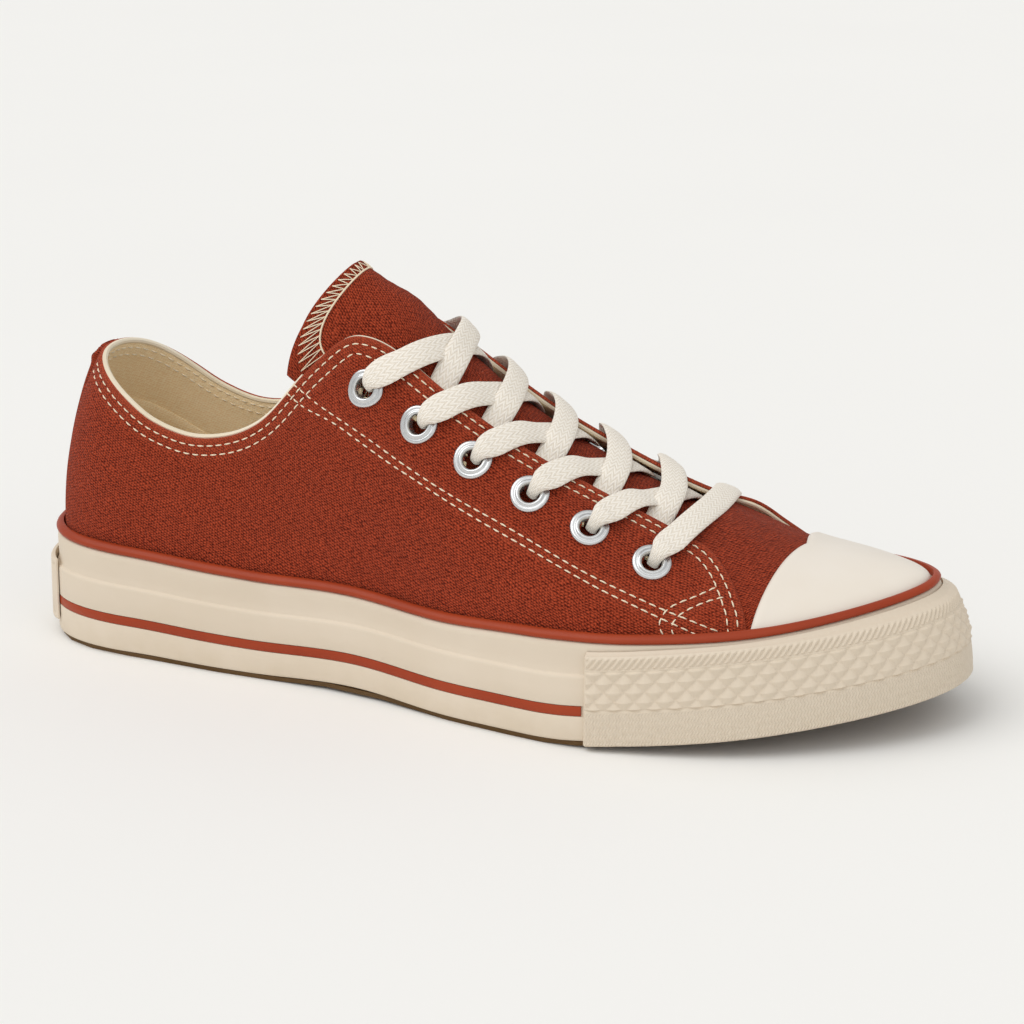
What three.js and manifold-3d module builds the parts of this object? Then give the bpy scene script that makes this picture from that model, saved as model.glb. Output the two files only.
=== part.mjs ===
// A low canvas sneaker for the right foot, in millimetres: toe along +X, inner side of the foot along +Y, up along +Z.
// The origin is on the floor under the middle of the overall box.
import * as THREE from "three";
import Module from "manifold-3d";

const wasm = await Module();
wasm.setup();
const { Manifold, Mesh } = wasm;

// Driving dimensions
const LENGTH = 300; // heel to toe of the rubber sidewall
const BALL = 107; // widest part of the sole
const UPPER_HEIGHT = 106; // height of the last over the instep, from the top of the sidewall at the heel
const SPRING = 13; // lift of the sole under the toe tip
const SPRING_FROM = 0.62; // share of the length where the toe starts to lift
const SPRING_POWER = 1.4;
const WAIST_LIFT = 1.2; // how far the waist of the sole clears the floor
const WAIST_AT = 0.4; // share of the length of its middle
const WAIST_REACH = 0.12; // share of the length from its middle to where the sole is flat
const HEEL_ROUND = 40; // length of the rounded heel end of the outline
const TOE_ROUND = 70; // length of the rounded toe end of the outline
const HEEL_FULLNESS = 2.05; // 2 is an ellipse, more is squarer
const TOE_FULLNESS = 2.15;
const CLEAR = 0.3; // gap between pieces that touch in the real shoe
const SIDE_HEIGHT = 35; // height of the rubber sidewall at the heel
const SIDE_LEAN = 9.2; // how far the top of the sidewall leans in at the toe
const SIDEWALL = 3; // thickness of the rubber sidewall at its top
const EDGE_ROUND = 0.7; // rounding along the top of the sidewall
const UPPER_WALL = 2.5; // canvas and lining together
const LAP = 0.9; // how far the vamp lies below the quarters
const VAMP_WALL = 2;
const BULGE = 1.25; // how far the sides of the arches bulge over the ball
const HEEL_LEAN = 88; // how far the closing line of the heel arch moves forward
const HEEL_LEAN_TO = 0.42; // share of the length where that lean ends
const HEEL_LEAN_POWER = 1.6;
const ARCH_END = 40; // length over which the arches close at the toe tip
const ARCH_END_FULLNESS = 2.6;
const BASE_BELOW = 1.5; // the arches start this far below the top of the sidewall
const SKIRT_FLOOR = 12.3; // underside of the upper above the sole's bottom
const GUM = 1.5; // visible thickness of the gum outsole
const GUM_CORE = 4.2; // height of the outsole inside the sidewall
const FILLER_TOP = 12; // top of the midsole filler
const BUMPER_FROM = 0.675; // share of the length where the toe bumper starts
const BUMPER = 1.6; // thickness of the toe bumper
const BUMPER_TOP = 27.8; // top of the bumper above the sole's bottom
const EYELET_OUTER = 5.75; // radius of the eyelet flange
const EYELET_HOLE = 2.55; // radius of the hole through the eyelet
const BARREL = 3.05; // outer radius of the eyelet barrel
const LACE_WIDTH = 8.2;
const LACE_THICK = 1.4;
const TONGUE_WALL = 2.2;
const TONGUE_DEPTH = 5; // face of the tongue below the last

// Outline of the sidewall. Columns: share of the length, middle line, half width, both as shares of the ball width.
const OUTLINE = [
  [0, 0, 0.35],
  [0.1, 0.004, 0.315],
  [0.24, 0.008, 0.344],
  [0.4, -0.012, 0.35],
  [0.55, -0.022, 0.436],
  [0.68, 0, 0.503],
  [0.8, 0.034, 0.478],
  [0.92, 0.062, 0.408],
  [1, 0.074, 0.345],
];
// Sidewall. Columns: share of the length, top as a share of the sidewall's height, inset of the top as a share of
// its lean, recess as a share of the bumper's thickness.
const SIDE = [
  [0, 1, 0.13, 0],
  [0.25, 0.914, 0.13, 0],
  [0.5, 0.857, 0.196, 0],
  [0.65, 0.897, 0.265, 0],
  [0.71, 0.871, 0.365, 1],
  [0.85, 0.82, 0.674, 1],
  [1, 0.85, 1, 1],
];
// Arches of the upper. Columns: share of the length, ridge as a share of the upper's height, rise and shoulder
// handles, side as a share of the bulge.
const ARCHES = [
  [0, 1.085, 0.78, 0.54, 0.4],
  [0.12, 1.066, 0.32, 0.51, 0.48],
  [0.25, 1.005, 0.05, 0.46, 0.56],
  [0.37, 1, 0.17, 0.64, 0.72],
  [0.45, 0.764, 0.27, 0.76, 0.88],
  [0.55, 0.519, 0.35, 0.7, 1],
  [0.65, 0.352, 0.34, 0.61, 1],
  [0.75, 0.24, 0.31, 0.51, 0.88],
  [0.83, 0.157, 0.32, 0.46, 0.72],
  [0.92, 0.117, 0.45, 0.45, 0.56],
  [1, 0.115, 0.55, 0.45, 0.24],
];
// Free edge of the quarters: collar, eyestay corner, throat, rounded front. Columns: share of the length, share of
// the arch.
const QUARTER_EDGE = [
  [0, 0.277],
  [0.03, 0.288],
  [0.075, 0.304],
  [0.12, 0.319],
  [0.161, 0.343],
  [0.209, 0.392],
  [0.26, 0.452],
  [0.301, 0.508],
  [0.349, 0.563],
  [0.394, 0.638],
  [0.427, 0.688],
  [0.497, 0.725],
  [0.594, 0.757],
  [0.656, 0.765],
  [0.7, 0.75],
  [0.743, 0.708],
  [0.762, 0.682],
  [0.78, 0.628],
  [0.797, 0.54],
  [0.814, 0.4],
  [0.825, 0.25],
  [0.829, 0.137],
  [0.8325, 0.02],
];
// Eyelets from the ankle to the toe. Columns: share of the length, share of the arch.
const EYELETS = [
  [0.407, 0.543],
  [0.468, 0.566],
  [0.528, 0.582],
  [0.589, 0.589],
  [0.653, 0.575],
  [0.721, 0.514],
];
// Stations along the length at which the pieces are sampled; neighbours share them so that their gaps stay even.
const STATIONS = [
  0, 0.0012, 0.005, 0.012, 0.024, 0.045, 0.08, 0.13, 0.19, 0.24, 0.3, 0.37, 0.44, 0.52, 0.59, 0.63, 0.665, 0.72, 0.77,
  0.806, 0.8325, 0.868, 0.9, 0.93, 0.955, 0.973, 0.987, 0.995, 0.9988, 1,
];
const QUARTER_STATIONS = [
  ...STATIONS.filter((s) => s < 0.25),
  0.272, 0.3, 0.325, 0.348, 0.37, 0.395, 0.415, 0.44, 0.48, 0.52, 0.59, 0.63, 0.665, 0.72, 0.748, 0.77, 0.79,
  0.806, 0.819, 0.8275, 0.8325,
];
const VAMP_STATIONS = [0.735, ...STATIONS.filter((s) => s > 0.75)];
const QUARTER_ROWS = [-1, 0, 0.15, 0.35, 0.56, 0.72, 0.83, 0.92, 1];
const VAMP_ROWS = [-1, 0, 0.12, 0.28, 0.5, 0.76];

// Smooth curve through a column of a table, with parabolic slopes.
function table(rows, column, at) {
  const last = rows.length - 1;
  const step = (k) => (rows[k + 1][column] - rows[k][column]) / (rows[k + 1][0] - rows[k][0]);
  const slope = (k) => {
    if (k === 0) return step(0);
    if (k === last) return step(last - 1);
    const before = rows[k][0] - rows[k - 1][0];
    const after = rows[k + 1][0] - rows[k][0];
    return (step(k - 1) * after + step(k) * before) / (before + after);
  };
  const x = Math.min(Math.max(at, rows[0][0]), rows[last][0]);
  let k = 0;
  while (k < last - 1 && rows[k + 1][0] < x) k += 1;
  const width = rows[k + 1][0] - rows[k][0];
  const t = (x - rows[k][0]) / width;
  const a = (2 * t ** 3 - 3 * t ** 2 + 1) * rows[k][column];
  const b = (-2 * t ** 3 + 3 * t ** 2) * rows[k + 1][column];
  return a + b + (t ** 3 - 2 * t ** 2 + t) * width * slope(k) + (t ** 3 - t ** 2) * width * slope(k + 1);
}

// Straight lines through a column of a table.
function lines(rows, column, at) {
  const last = rows.length - 1;
  const x = Math.min(Math.max(at, rows[0][0]), rows[last][0]);
  let k = 0;
  while (k < last - 1 && rows[k + 1][0] < x) k += 1;
  const t = (x - rows[k][0]) / (rows[k + 1][0] - rows[k][0]);
  return rows[k][column] * (1 - t) + rows[k + 1][column] * t;
}

// Rounded end of a length: 0 at the tip, 1 from the given distance on.
const rounded = (distance, length, fullness) =>
  (1 - Math.min(Math.max(1 - distance / length, 0), 1) ** fullness) ** (1 / fullness);

// The angle of a station, which spaces points evenly round both ends.
const angleOf = (share) => Math.acos(1 - 2 * share) / Math.PI;
const shareOf = (angle) => (1 - Math.cos(Math.PI * angle)) / 2;

// Point of the outline in the floor plane before any inset; side is -1 on the outer side of the foot and 1 on the
// inner.
function rim(angle, side) {
  const s = shareOf(Math.min(Math.max(angle, 0), 1));
  const heel = rounded(s * LENGTH, HEEL_ROUND, HEEL_FULLNESS);
  const toe = rounded((1 - s) * LENGTH, TOE_ROUND, TOE_FULLNESS);
  const half = BALL * table(OUTLINE, 2, s) * heel * toe;
  return [(s - 0.5) * LENGTH, BALL * table(OUTLINE, 1, s) + side * half];
}

// Unit normal of the outline pointing into the sole.
function inward(angle, side) {
  const step = 1e-3;
  if (angle < 1e-6) return [1, 0];
  if (angle > 1 - 1e-6) return [-1, 0];
  const a = rim(angle - step, side);
  const b = rim(angle + step, side);
  const length = Math.hypot(b[0] - a[0], b[1] - a[1]);
  return [((b[1] - a[1]) / length) * side, (-(b[0] - a[0]) / length) * side];
}

function outline(angle, side, inset) {
  const [x, y] = rim(angle, side);
  const [nx, ny] = inward(angle, side);
  return [x + nx * inset, y + ny * inset];
}

// Height of the sole's bottom at a place along the shoe.
function bottomZ(x) {
  const s = Math.min(x / LENGTH + 0.5, 1);
  const waist = Math.max(1 - Math.abs(s - WAIST_AT) / WAIST_REACH, 0);
  const lift = WAIST_LIFT * Math.sin((Math.PI * waist) / 2) ** 2;
  return lift + SPRING * Math.max((s - SPRING_FROM) / (1 - SPRING_FROM), 0) ** SPRING_POWER;
}
const sideTop = (s) => SIDE_HEIGHT * table(SIDE, 1, s);
const topInset = (s) => SIDE_LEAN * table(SIDE, 2, s);
const recess = (s) => BUMPER * lines(SIDE, 3, s);

const LEAST_RISE = 0.04; // smallest handle of an arch, as a share of its height

// Point of the last: v is -1 to 0 down the skirt inside the sidewall and 0 to 1 up the arch to the ridge.
function lastPoint(angle, v, side) {
  const s = shareOf(angle);
  const inset = topInset(s) + SIDEWALL + CLEAR;
  const near = outline(angle, side, inset);
  const far = outline(angle, -side, inset);
  const bottom = bottomZ(near[0]);
  const baseZ = bottom + sideTop(s) - BASE_BELOW;
  if (v <= 0) {
    const floor = bottom + SKIRT_FLOOR;
    return new THREE.Vector3(near[0], near[1], baseZ + (baseZ - floor) * v);
  }
  const middle = [(near[0] + far[0]) / 2, (near[1] + far[1]) / 2];
  const half = Math.hypot(near[0] - far[0], near[1] - far[1]) / 2;
  const dx = half > 1e-6 ? (near[0] - middle[0]) / half : 0;
  const dy = half > 1e-6 ? (near[1] - middle[1]) / half : side;
  const ridgeZ = SIDE_HEIGHT + UPPER_HEIGHT * table(ARCHES, 1, s);
  const height = (ridgeZ - baseZ) * rounded((1 - s) * LENGTH, ARCH_END, ARCH_END_FULLNESS);
  const rise = Math.max(table(ARCHES, 2, s), LEAST_RISE) * height;
  const shoulder = half * table(ARCHES, 3, s);
  const bulge = BULGE * table(ARCHES, 4, s) * rounded((1 - s) * LENGTH, ARCH_END, 2);
  const lean = HEEL_LEAN * Math.max(1 - s / HEEL_LEAN_TO, 0) ** HEEL_LEAN_POWER;
  const start = new THREE.Vector3(near[0], near[1], baseZ);
  const ridge = new THREE.Vector3(middle[0] + lean, middle[1], baseZ + height);
  const lower = start.clone().add(new THREE.Vector3(dx * bulge, dy * bulge, rise));
  const upper = ridge.clone().add(new THREE.Vector3(dx * shoulder, dy * shoulder, 0));
  return new THREE.CubicBezierCurve3(start, lower, upper, ridge).getPoint(Math.min(v, 1));
}

// Outward normal of the last.
function lastNormal(angle, v, side) {
  const step = 2e-3;
  if (angle > 1 - 1e-6) return new THREE.Vector3(1, 0, 0);
  if (v <= 0) {
    const [nx, ny] = inward(angle, side);
    return new THREE.Vector3(-nx, -ny, 0);
  }
  const a0 = Math.max(angle - step, 0);
  const a1 = Math.min(angle + step, 1 - 1e-5);
  const along = lastPoint(a1, v, side).sub(lastPoint(a0, v, side));
  const across = lastPoint(angle, Math.min(v + step, 1), side).sub(lastPoint(angle, Math.max(v - step, 1e-4), side));
  const normal = along.cross(across).normalize().multiplyScalar(-side);
  if (v > 1 - 1e-6) normal.y = 0;
  return normal.normalize();
}

// Point at a distance off the last.
const skin = (angle, v, side, off) => lastPoint(angle, v, side).addScaledVector(lastNormal(angle, v, side), off);

// Share of the arch at which the last reaches a height.
function shareAtHeight(angle, side, z) {
  let low = 0;
  let high = 1;
  for (let k = 0; k < 24; k += 1) {
    const middle = (low + high) / 2;
    if (lastPoint(angle, middle, side).z < z) low = middle;
    else high = middle;
  }
  return (low + high) / 2;
}

// Closed body from triangles of points; corners that meet are joined and empty triangles dropped.
function body(triangles) {
  const keys = new Map();
  const points = [];
  const faces = [];
  const indexOf = (p) => {
    const key = [p.x, p.y, p.z].map((c) => Math.round(c * 2000)).join();
    if (!keys.has(key)) {
      keys.set(key, points.length / 3);
      points.push(p.x, p.y, p.z);
    }
    return keys.get(key);
  };
  for (const corners of triangles) {
    const [a, b, c] = corners.map(indexOf);
    if (a !== b && b !== c && c !== a) faces.push([a, b, c]);
  }
  const corner = (k) => new THREE.Vector3(points[3 * k], points[3 * k + 1], points[3 * k + 2]);
  let volume = 0;
  for (const [a, b, c] of faces) volume += corner(a).dot(corner(b).cross(corner(c)));
  const turned = volume < 0 ? faces.map(([a, b, c]) => [a, c, b]) : faces;
  return new Manifold(
    new Mesh({ numProp: 3, vertProperties: new Float32Array(points), triVerts: new Uint32Array(turned.flat()) }),
  );
}

// Two triangles of a four-sided face.
const quad = (a, b, c, d) => [[a, b, c], [a, c, d]];

// Sheet with a thickness: at(i, j, layer) gives the points of the outer layer 0 and the inner layer 1.
function shell(columns, rows, at) {
  const grid = [0, 1].map((layer) =>
    Array.from({ length: columns }, (_, i) => Array.from({ length: rows }, (_, j) => at(i, j, layer))),
  );
  const [out, back] = grid;
  const faces = [];
  for (let i = 0; i < columns - 1; i += 1) {
    for (let j = 0; j < rows - 1; j += 1) {
      faces.push(...quad(out[i][j], out[i + 1][j], out[i + 1][j + 1], out[i][j + 1]));
      faces.push(...quad(back[i][j], back[i][j + 1], back[i + 1][j + 1], back[i + 1][j]));
    }
    faces.push(...quad(out[i + 1][0], out[i][0], back[i][0], back[i + 1][0]));
    faces.push(...quad(out[i][rows - 1], out[i + 1][rows - 1], back[i + 1][rows - 1], back[i][rows - 1]));
  }
  for (let j = 0; j < rows - 1; j += 1) {
    const end = columns - 1;
    faces.push(...quad(out[0][j], out[0][j + 1], back[0][j + 1], back[0][j]));
    faces.push(...quad(out[end][j + 1], out[end][j], back[end][j], back[end][j + 1]));
  }
  return body(faces);
}

// Section carried along stations: sections is a list of closed loops of points, ends closed unless it goes all round.
function sweep(sections, allRound) {
  const faces = [];
  const size = sections[0].length;
  const count = allRound ? sections.length : sections.length - 1;
  for (let i = 0; i < count; i += 1) {
    const a = sections[i];
    const b = sections[(i + 1) % sections.length];
    for (let j = 0; j < size; j += 1) {
      const k = (j + 1) % size;
      faces.push(...quad(a[j], b[j], b[k], a[k]));
    }
  }
  if (!allRound) {
    const first = sections[0];
    const last = sections[sections.length - 1];
    for (let j = 1; j < size - 1; j += 1) {
      faces.push([first[0], first[j], first[j + 1]]);
      faces.push([last[0], last[j + 1], last[j]]);
    }
  }
  return body(faces);
}

// Stations round the sole: from one share on the outer side, past the heel or the toe, to the same share on the
// inner.
function roundHeel(to) {
  const list = STATIONS.filter((s) => s < to - 1e-6).concat(to).map(angleOf);
  return [...list.slice(1).reverse().map((a) => [a, -1]), ...list.map((a) => [a, 1])];
}
function roundToe(from) {
  const list = [from, ...STATIONS.filter((s) => s > from + 1e-6)].map(angleOf);
  return [...list.map((a) => [a, -1]), ...list.slice(0, -1).reverse().map((a) => [a, 1])];
}
const allRound = () => {
  const list = STATIONS.map(angleOf);
  return [...list.map((a) => [a, -1]), ...list.slice(1, -1).reverse().map((a) => [a, 1])];
};

// Loop of points from pairs of inset and height above the sole's bottom.
const loopOn = ([angle, side], pairs) =>
  pairs.map(([inset, z]) => {
    const [x, y] = outline(angle, side, inset);
    return new THREE.Vector3(x, y, bottomZ(x) + z);
  });

// Slab inside the outline: pairs of inset and height run up one side and are mirrored down the other.
function slab(pairsAt, stations = STATIONS) {
  return sweep(
    stations.map((s) => {
      const angle = angleOf(s);
      const pairs = pairsAt(s);
      return [...loopOn([angle, -1], pairs), ...loopOn([angle, 1], pairs).reverse()];
    }),
    false,
  );
}

// Inset of the sidewall's face at a height: it leans in towards its top.
const SIDE_CURVE = 1.3;
const faceInset = (s, z) => recess(s) + Math.max(topInset(s) - recess(s), 0) * (z / sideTop(s)) ** SIDE_CURVE;

const STRIPE_LOW = 9.5;
const STRIPE_HIGH = 12.3;
const STRIPE_SEAT = 0.9; // depth of the groove that holds the stripe
const LEDGE = 21.8; // height of the step round the sidewall
const LEDGE_IN = 0.8;
const LEDGE_SLOPE = 0.5; // height of the step's slope

function foxing() {
  return sweep(
    allRound().map(([angle, side]) => {
      const s = shareOf(angle);
      const face = (z, extra) => [faceInset(s, z) + extra, z];
      const back = topInset(s) + SIDEWALL;
      const top = sideTop(s);
      return loopOn([angle, side], [
        [back, GUM + CLEAR],
        face(GUM + CLEAR, 0),
        face(STRIPE_LOW - CLEAR, 0),
        face(STRIPE_LOW - CLEAR, STRIPE_SEAT),
        face(STRIPE_HIGH + CLEAR, STRIPE_SEAT),
        face(STRIPE_HIGH + CLEAR, 0),
        face(LEDGE - LEDGE_SLOPE, 0),
        face(LEDGE, LEDGE_IN),
        face(top - EDGE_ROUND, LEDGE_IN / 2),
        [topInset(s) + EDGE_ROUND, top],
        [back, top],
      ]);
    }),
    true,
  );
}

const STRIPE_PROUD = 0.2;
const STRIPE_TO = BUMPER_FROM - 0.004; // share of the length where the line stops, just short of the bumper
function stripe() {
  return sweep(
    roundHeel(STRIPE_TO).map(([angle, side]) => {
      const s = shareOf(angle);
      const seat = (z) => [faceInset(s, z) + STRIPE_SEAT - CLEAR, z];
      const proud = (z) => [faceInset(s, z) - STRIPE_PROUD, z];
      return loopOn([angle, side], [
        seat(STRIPE_LOW),
        proud(STRIPE_LOW + CLEAR),
        proud(STRIPE_HIGH - CLEAR),
        seat(STRIPE_HIGH),
      ]);
    }),
    false,
  );
}

// Bands of the bumper from the floor up. Columns: height as a share of the bumper's top, how far the face stands
// back as a share of its thickness.
const BUMPER_BANDS = [
  [0.025, 0.06],
  [0.4, 0],
  [0.412, 0.3],
  [0.424, 0],
  [0.83, 0],
  [0.842, 0.25],
  [0.855, 0],
  [1, 0.12],
];
// Heights of the points behind the bands.
const BUMPER_BACK = [
  BUMPER_BANDS[0][0] * BUMPER_TOP,
  STRIPE_LOW - CLEAR,
  STRIPE_HIGH + CLEAR,
  LEDGE - LEDGE_SLOPE,
  BUMPER_TOP,
];
function bumper() {
  return sweep(
    roundToe(BUMPER_FROM).map(([angle, side]) => {
      const s = shareOf(angle);
      const back = BUMPER_BACK.map((z) => [faceInset(s, z) - CLEAR, z]);
      const front = BUMPER_BANDS.map(([share, depth]) => {
        const z = share * BUMPER_TOP;
        return [faceInset(s, z) - BUMPER * (1 - depth), z];
      });
      return loopOn([angle, side], [...back.reverse(), ...front]);
    }),
    false,
  );
}

const PATCH_LOW = 4;
const PATCH_HIGH = 24.5;
const PATCH_THICK = 1.5;
const PATCH_ROUND = 0.5;
const PATCH_TO = 0.03; // share of the length the patch reaches round the heel
function heelPatch() {
  return sweep(
    roundHeel(PATCH_TO).map(([angle, side]) => {
      const s = shareOf(angle);
      const inner = (z) => [faceInset(s, z) - 2 * CLEAR, z];
      const outer = (z, soft) => [faceInset(s, z) - 2 * CLEAR - PATCH_THICK + soft, z];
      return loopOn([angle, side], [
        inner(PATCH_LOW),
        outer(PATCH_LOW, PATCH_ROUND),
        outer(PATCH_LOW + PATCH_ROUND, 0),
        outer(PATCH_HIGH - PATCH_ROUND, 0),
        outer(PATCH_HIGH, PATCH_ROUND),
        inner(PATCH_HIGH),
      ]);
    }),
    false,
  );
}

const PIPING_HEIGHT = 2.8;
const PIPING_WIDTH = 3.1; // how far it reaches out over the sidewall
const PIPING_GAP = 0.85; // gap to the last at the toe cap
// Rolled strip on top of the sidewall. Columns: share of the length, share of its height, share of the gap.
const PIPING = [
  [0, 1, 0.41],
  [0.78, 0.9, 0.41],
  [0.86, 0.86, 1],
  [1, 0.8, 1],
];
// Its section over the sidewall. Columns: share of its width, share of its height.
const PIPING_SECTION = [
  [0.87, 0],
  [1, 0.35],
  [0.77, 0.8],
];
function piping() {
  return sweep(
    allRound().map(([angle, side]) => {
      const s = shareOf(angle);
      const height = PIPING_HEIGHT * lines(PIPING, 1, s);
      const out = (distance, z) => [topInset(s) + SIDEWALL + CLEAR - distance, sideTop(s) + CLEAR + z * height];
      const gap = PIPING_GAP * lines(PIPING, 2, s);
      return loopOn([angle, side], [
        out(gap, 0),
        ...PIPING_SECTION.map(([share, z]) => out(share * PIPING_WIDTH, z)),
        out(gap + CLEAR, 1),
      ]);
    }),
    true,
  );
}

const TREAD_DEPTH = 1;
const TREAD_WIDTH = 2.2;
const TREAD_PITCH = 17;
const TREAD_INSET = 8;
const TREAD_TURN = 32; // degrees between a groove and the width of the shoe
const HEEL_TREAD_TO = -0.24; // end of the heel's tread, from the middle, as a share of the length
const FORE_TREAD_FROM = -0.02; // start of the forefoot's tread, likewise
const GROOVE_REACH = 0.7; // length of a groove's arm as a share of the ball
const GROOVE_CUT = 60; // height of the cutting bar, more than the toe spring
const GUM_INSET = 1.2; // the outsole stands back under the sidewall
const TREAD_STATIONS = [0.05, 0.13, 0.28, 0.44, 0.58, 0.72, 0.82, 0.9, 0.955];

// Gum outsole with a chevron tread under the heel and the forefoot.
function outsole() {
  const plate = slab((s) => [
    [GUM_INSET + recess(s), 0],
    [GUM_INSET - CLEAR + recess(s), GUM],
    [topInset(s) + SIDEWALL + CLEAR, GUM],
    [topInset(s) + SIDEWALL + CLEAR, GUM_CORE],
  ]);
  const field = slab(
    (s) => [
      [topInset(s) + TREAD_INSET, -TREAD_DEPTH],
      [topInset(s) + TREAD_INSET, TREAD_DEPTH],
    ],
    TREAD_STATIONS,
  );
  const grooves = [];
  for (let x = -LENGTH / 2; x < LENGTH / 2; x += TREAD_PITCH) {
    if (x > LENGTH * HEEL_TREAD_TO && x < LENGTH * FORE_TREAD_FROM) continue;
    for (const side of [-1, 1]) {
      const length = BALL * GROOVE_REACH;
      grooves.push(
        Manifold.cube([TREAD_WIDTH, length, GROOVE_CUT], true)
          .translate([0, (side * length) / 2, 0])
          .rotate([0, 0, side * TREAD_TURN])
          .translate([x, 0, 0]),
      );
    }
  }
  return plate.subtract(Manifold.union(grooves).intersect(field));
}

function midsole() {
  return slab((s) => [
    [topInset(s) + SIDEWALL + CLEAR, GUM_CORE + CLEAR],
    [topInset(s) + SIDEWALL + CLEAR, FILLER_TOP],
  ]);
}

const FOOTBED_TOP = 21; // top of the footbed above the sole's bottom, at the arch of the foot
const RIM_RISE = 2.4; // rise of its rim there
const RIM_WIDTH = 9;
const RIM_ROUND = 0.5;
// Footbed. Columns: share of the length, shares of its top, of the rim's rise and of the rim's width.
const FOOTBED = [
  [0, 0.952, 0.83, 0.89],
  [0.3, 1, 1, 1],
  [0.6, 0.857, 0.5, 0.89],
  [0.8, 0.81, 0.21, 0.56],
  [1, 0.79, 0.125, 0.28],
];
function insole() {
  return slab((s) => {
    const edge = topInset(s) + SIDEWALL + CLEAR + Math.max(UPPER_WALL, LAP + VAMP_WALL) + CLEAR;
    const top = FOOTBED_TOP * table(FOOTBED, 1, s);
    const rimUp = RIM_RISE * table(FOOTBED, 2, s);
    return [
      [edge, SKIRT_FLOOR],
      [edge, top + rimUp - RIM_ROUND],
      [edge + 2 * RIM_ROUND, top + rimUp],
      [edge + RIM_WIDTH * table(FOOTBED, 3, s), top],
    ];
  });
}

const quarterEdge = (s) => table(QUARTER_EDGE, 1, s);

// The two quarters in one sheet that goes round the heel.
function quarters() {
  const angles = QUARTER_STATIONS.map(angleOf);
  const columns = [...angles.slice(1).reverse().map((a) => [a, -1]), ...angles.map((a) => [a, 1])];
  return shell(columns.length, QUARTER_ROWS.length, (i, j, layer) => {
    const [angle, side] = columns[i];
    const row = QUARTER_ROWS[j];
    const v = row > 0 ? row * quarterEdge(shareOf(angle)) : row;
    return skin(angle, v, side, layer === 0 ? 0 : -UPPER_WALL);
  });
}

// Rows over the whole arch, from one skirt to the other.
const overArch = (rows) => [
  ...rows.map((v) => [v, -1]),
  [1, 1],
  ...rows.slice().reverse().map((v) => [v, 1]),
];

const VAMP_SKIRT = 0.97; // how far down inside the sidewall it reaches, as a share of the quarters' skirt
function vamp() {
  const rows = overArch(VAMP_ROWS);
  return shell(VAMP_STATIONS.length, rows.length, (i, j, layer) => {
    const [v, side] = rows[j];
    return skin(angleOf(VAMP_STATIONS[i]), v * (v < 0 ? VAMP_SKIRT : 1), side, layer === 0 ? -LAP : -LAP - VAMP_WALL);
  });
}

const HOLE_SIDES = 8;
const HOLE_ROOM = 0.55; // room round the barrel of an eyelet
const PUNCH = 10; // length of the punch, a few times the wall
// Straight round bar along a direction.
function drill(center, direction, radius, length) {
  const turn = new THREE.Quaternion().setFromUnitVectors(new THREE.Vector3(0, 0, 1), direction);
  const place = new THREE.Matrix4().compose(center, turn, new THREE.Vector3(1, 1, 1));
  return Manifold.cylinder(length, radius, radius, HOLE_SIDES, true).transform(place.elements);
}

function upper() {
  const holes = [];
  for (const side of [-1, 1]) {
    for (const [s, v] of EYELETS) {
      const angle = angleOf(s);
      holes.push(drill(skin(angle, v, side, 0), lastNormal(angle, v, side), BARREL + HOLE_ROOM, PUNCH));
    }
  }
  return quarters().add(vamp()).subtract(Manifold.union(holes));
}

const CAP_INNER = -0.5;
const CAP_OUTER = 0.6;
const CAP_REAR = 0.8325; // share of the length at the sides of the cap
const CAP_CROWN = 0.0175; // how much further forward the rear edge lies on the ridge
const CAP_STATIONS = [0.8, 0.84, 0.88, 0.91, 0.94, 0.97, 0.985, 1, 1.02]; // of the trim along the sidewall

// Rubber toe cap, cut off just above the sidewall.
function toeCap() {
  const rows = overArch(VAMP_ROWS.slice(1));
  const stations = [CAP_REAR, ...STATIONS.filter((s) => s > CAP_REAR + CAP_CROWN)];
  const sheet = shell(stations.length, rows.length, (i, j, layer) => {
    const [v, side] = rows[j];
    const s = i === 0 ? CAP_REAR + CAP_CROWN * v ** 3 : stations[i];
    return skin(angleOf(s), v, side, layer === 0 ? CAP_OUTER : CAP_INNER);
  });
  const below = sweep(
    CAP_STATIONS.map((s) => {
      const x = (s - 0.5) * LENGTH;
      const top = bottomZ(x) + sideTop(s) + 2.5 * CLEAR;
      return [
        new THREE.Vector3(x, -BALL, 0),
        new THREE.Vector3(x, -BALL, top),
        new THREE.Vector3(x, BALL, top),
        new THREE.Vector3(x, BALL, 0),
      ];
    }),
    false,
  );
  return sheet.subtract(below);
}

// Tongue. Columns: share of the length, share of its depth below the last, share of the arch at its side edge.
const TONGUE_UNDER = [
  [0.46, 1, 0.5],
  [0.54, 1, 0.5],
  [0.62, 1, 0.5],
  [0.685, 1, 0.5],
  [0.722, 1, 0.5],
  [0.74, 0.76, 0.55],
  [0.79, 0.76, 0.6],
];
// Top edge of the tongue, a deep bow round the ankle: middle point, half width, depth of the bow, directions.
const TONGUE_TOP = new THREE.Vector3(-0.137 * LENGTH, -0.005 * BALL, SIDE_HEIGHT + 0.847 * UPPER_HEIGHT);
const TONGUE_HALF = 18;
const TONGUE_BOW = 34;
const TONGUE_CORNER = 7; // how far its corners drop
const TONGUE_CROWN = 2.2; // how far the middle of its free part stands up
const TONGUE_BACK = new THREE.Vector3(-0.62, 0, -0.78);
const TONGUE_UP = new THREE.Vector3(-0.78, 0, 0.62);
const TONGUE_FREE = 0.46; // share of the length where its free part starts
const TONGUE_BEFORE = 0.5; // station that gives the free part its direction
const TONGUE_ROWS = [-1, -0.9, -0.76, -0.6, -0.42, -0.22, 0, 0.22, 0.42, 0.6, 0.76, 0.9, 1];
const TONGUE_FLARE = [0.15, 0.3, 0.45, 0.6, 0.75, 0.88, 1];
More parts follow.
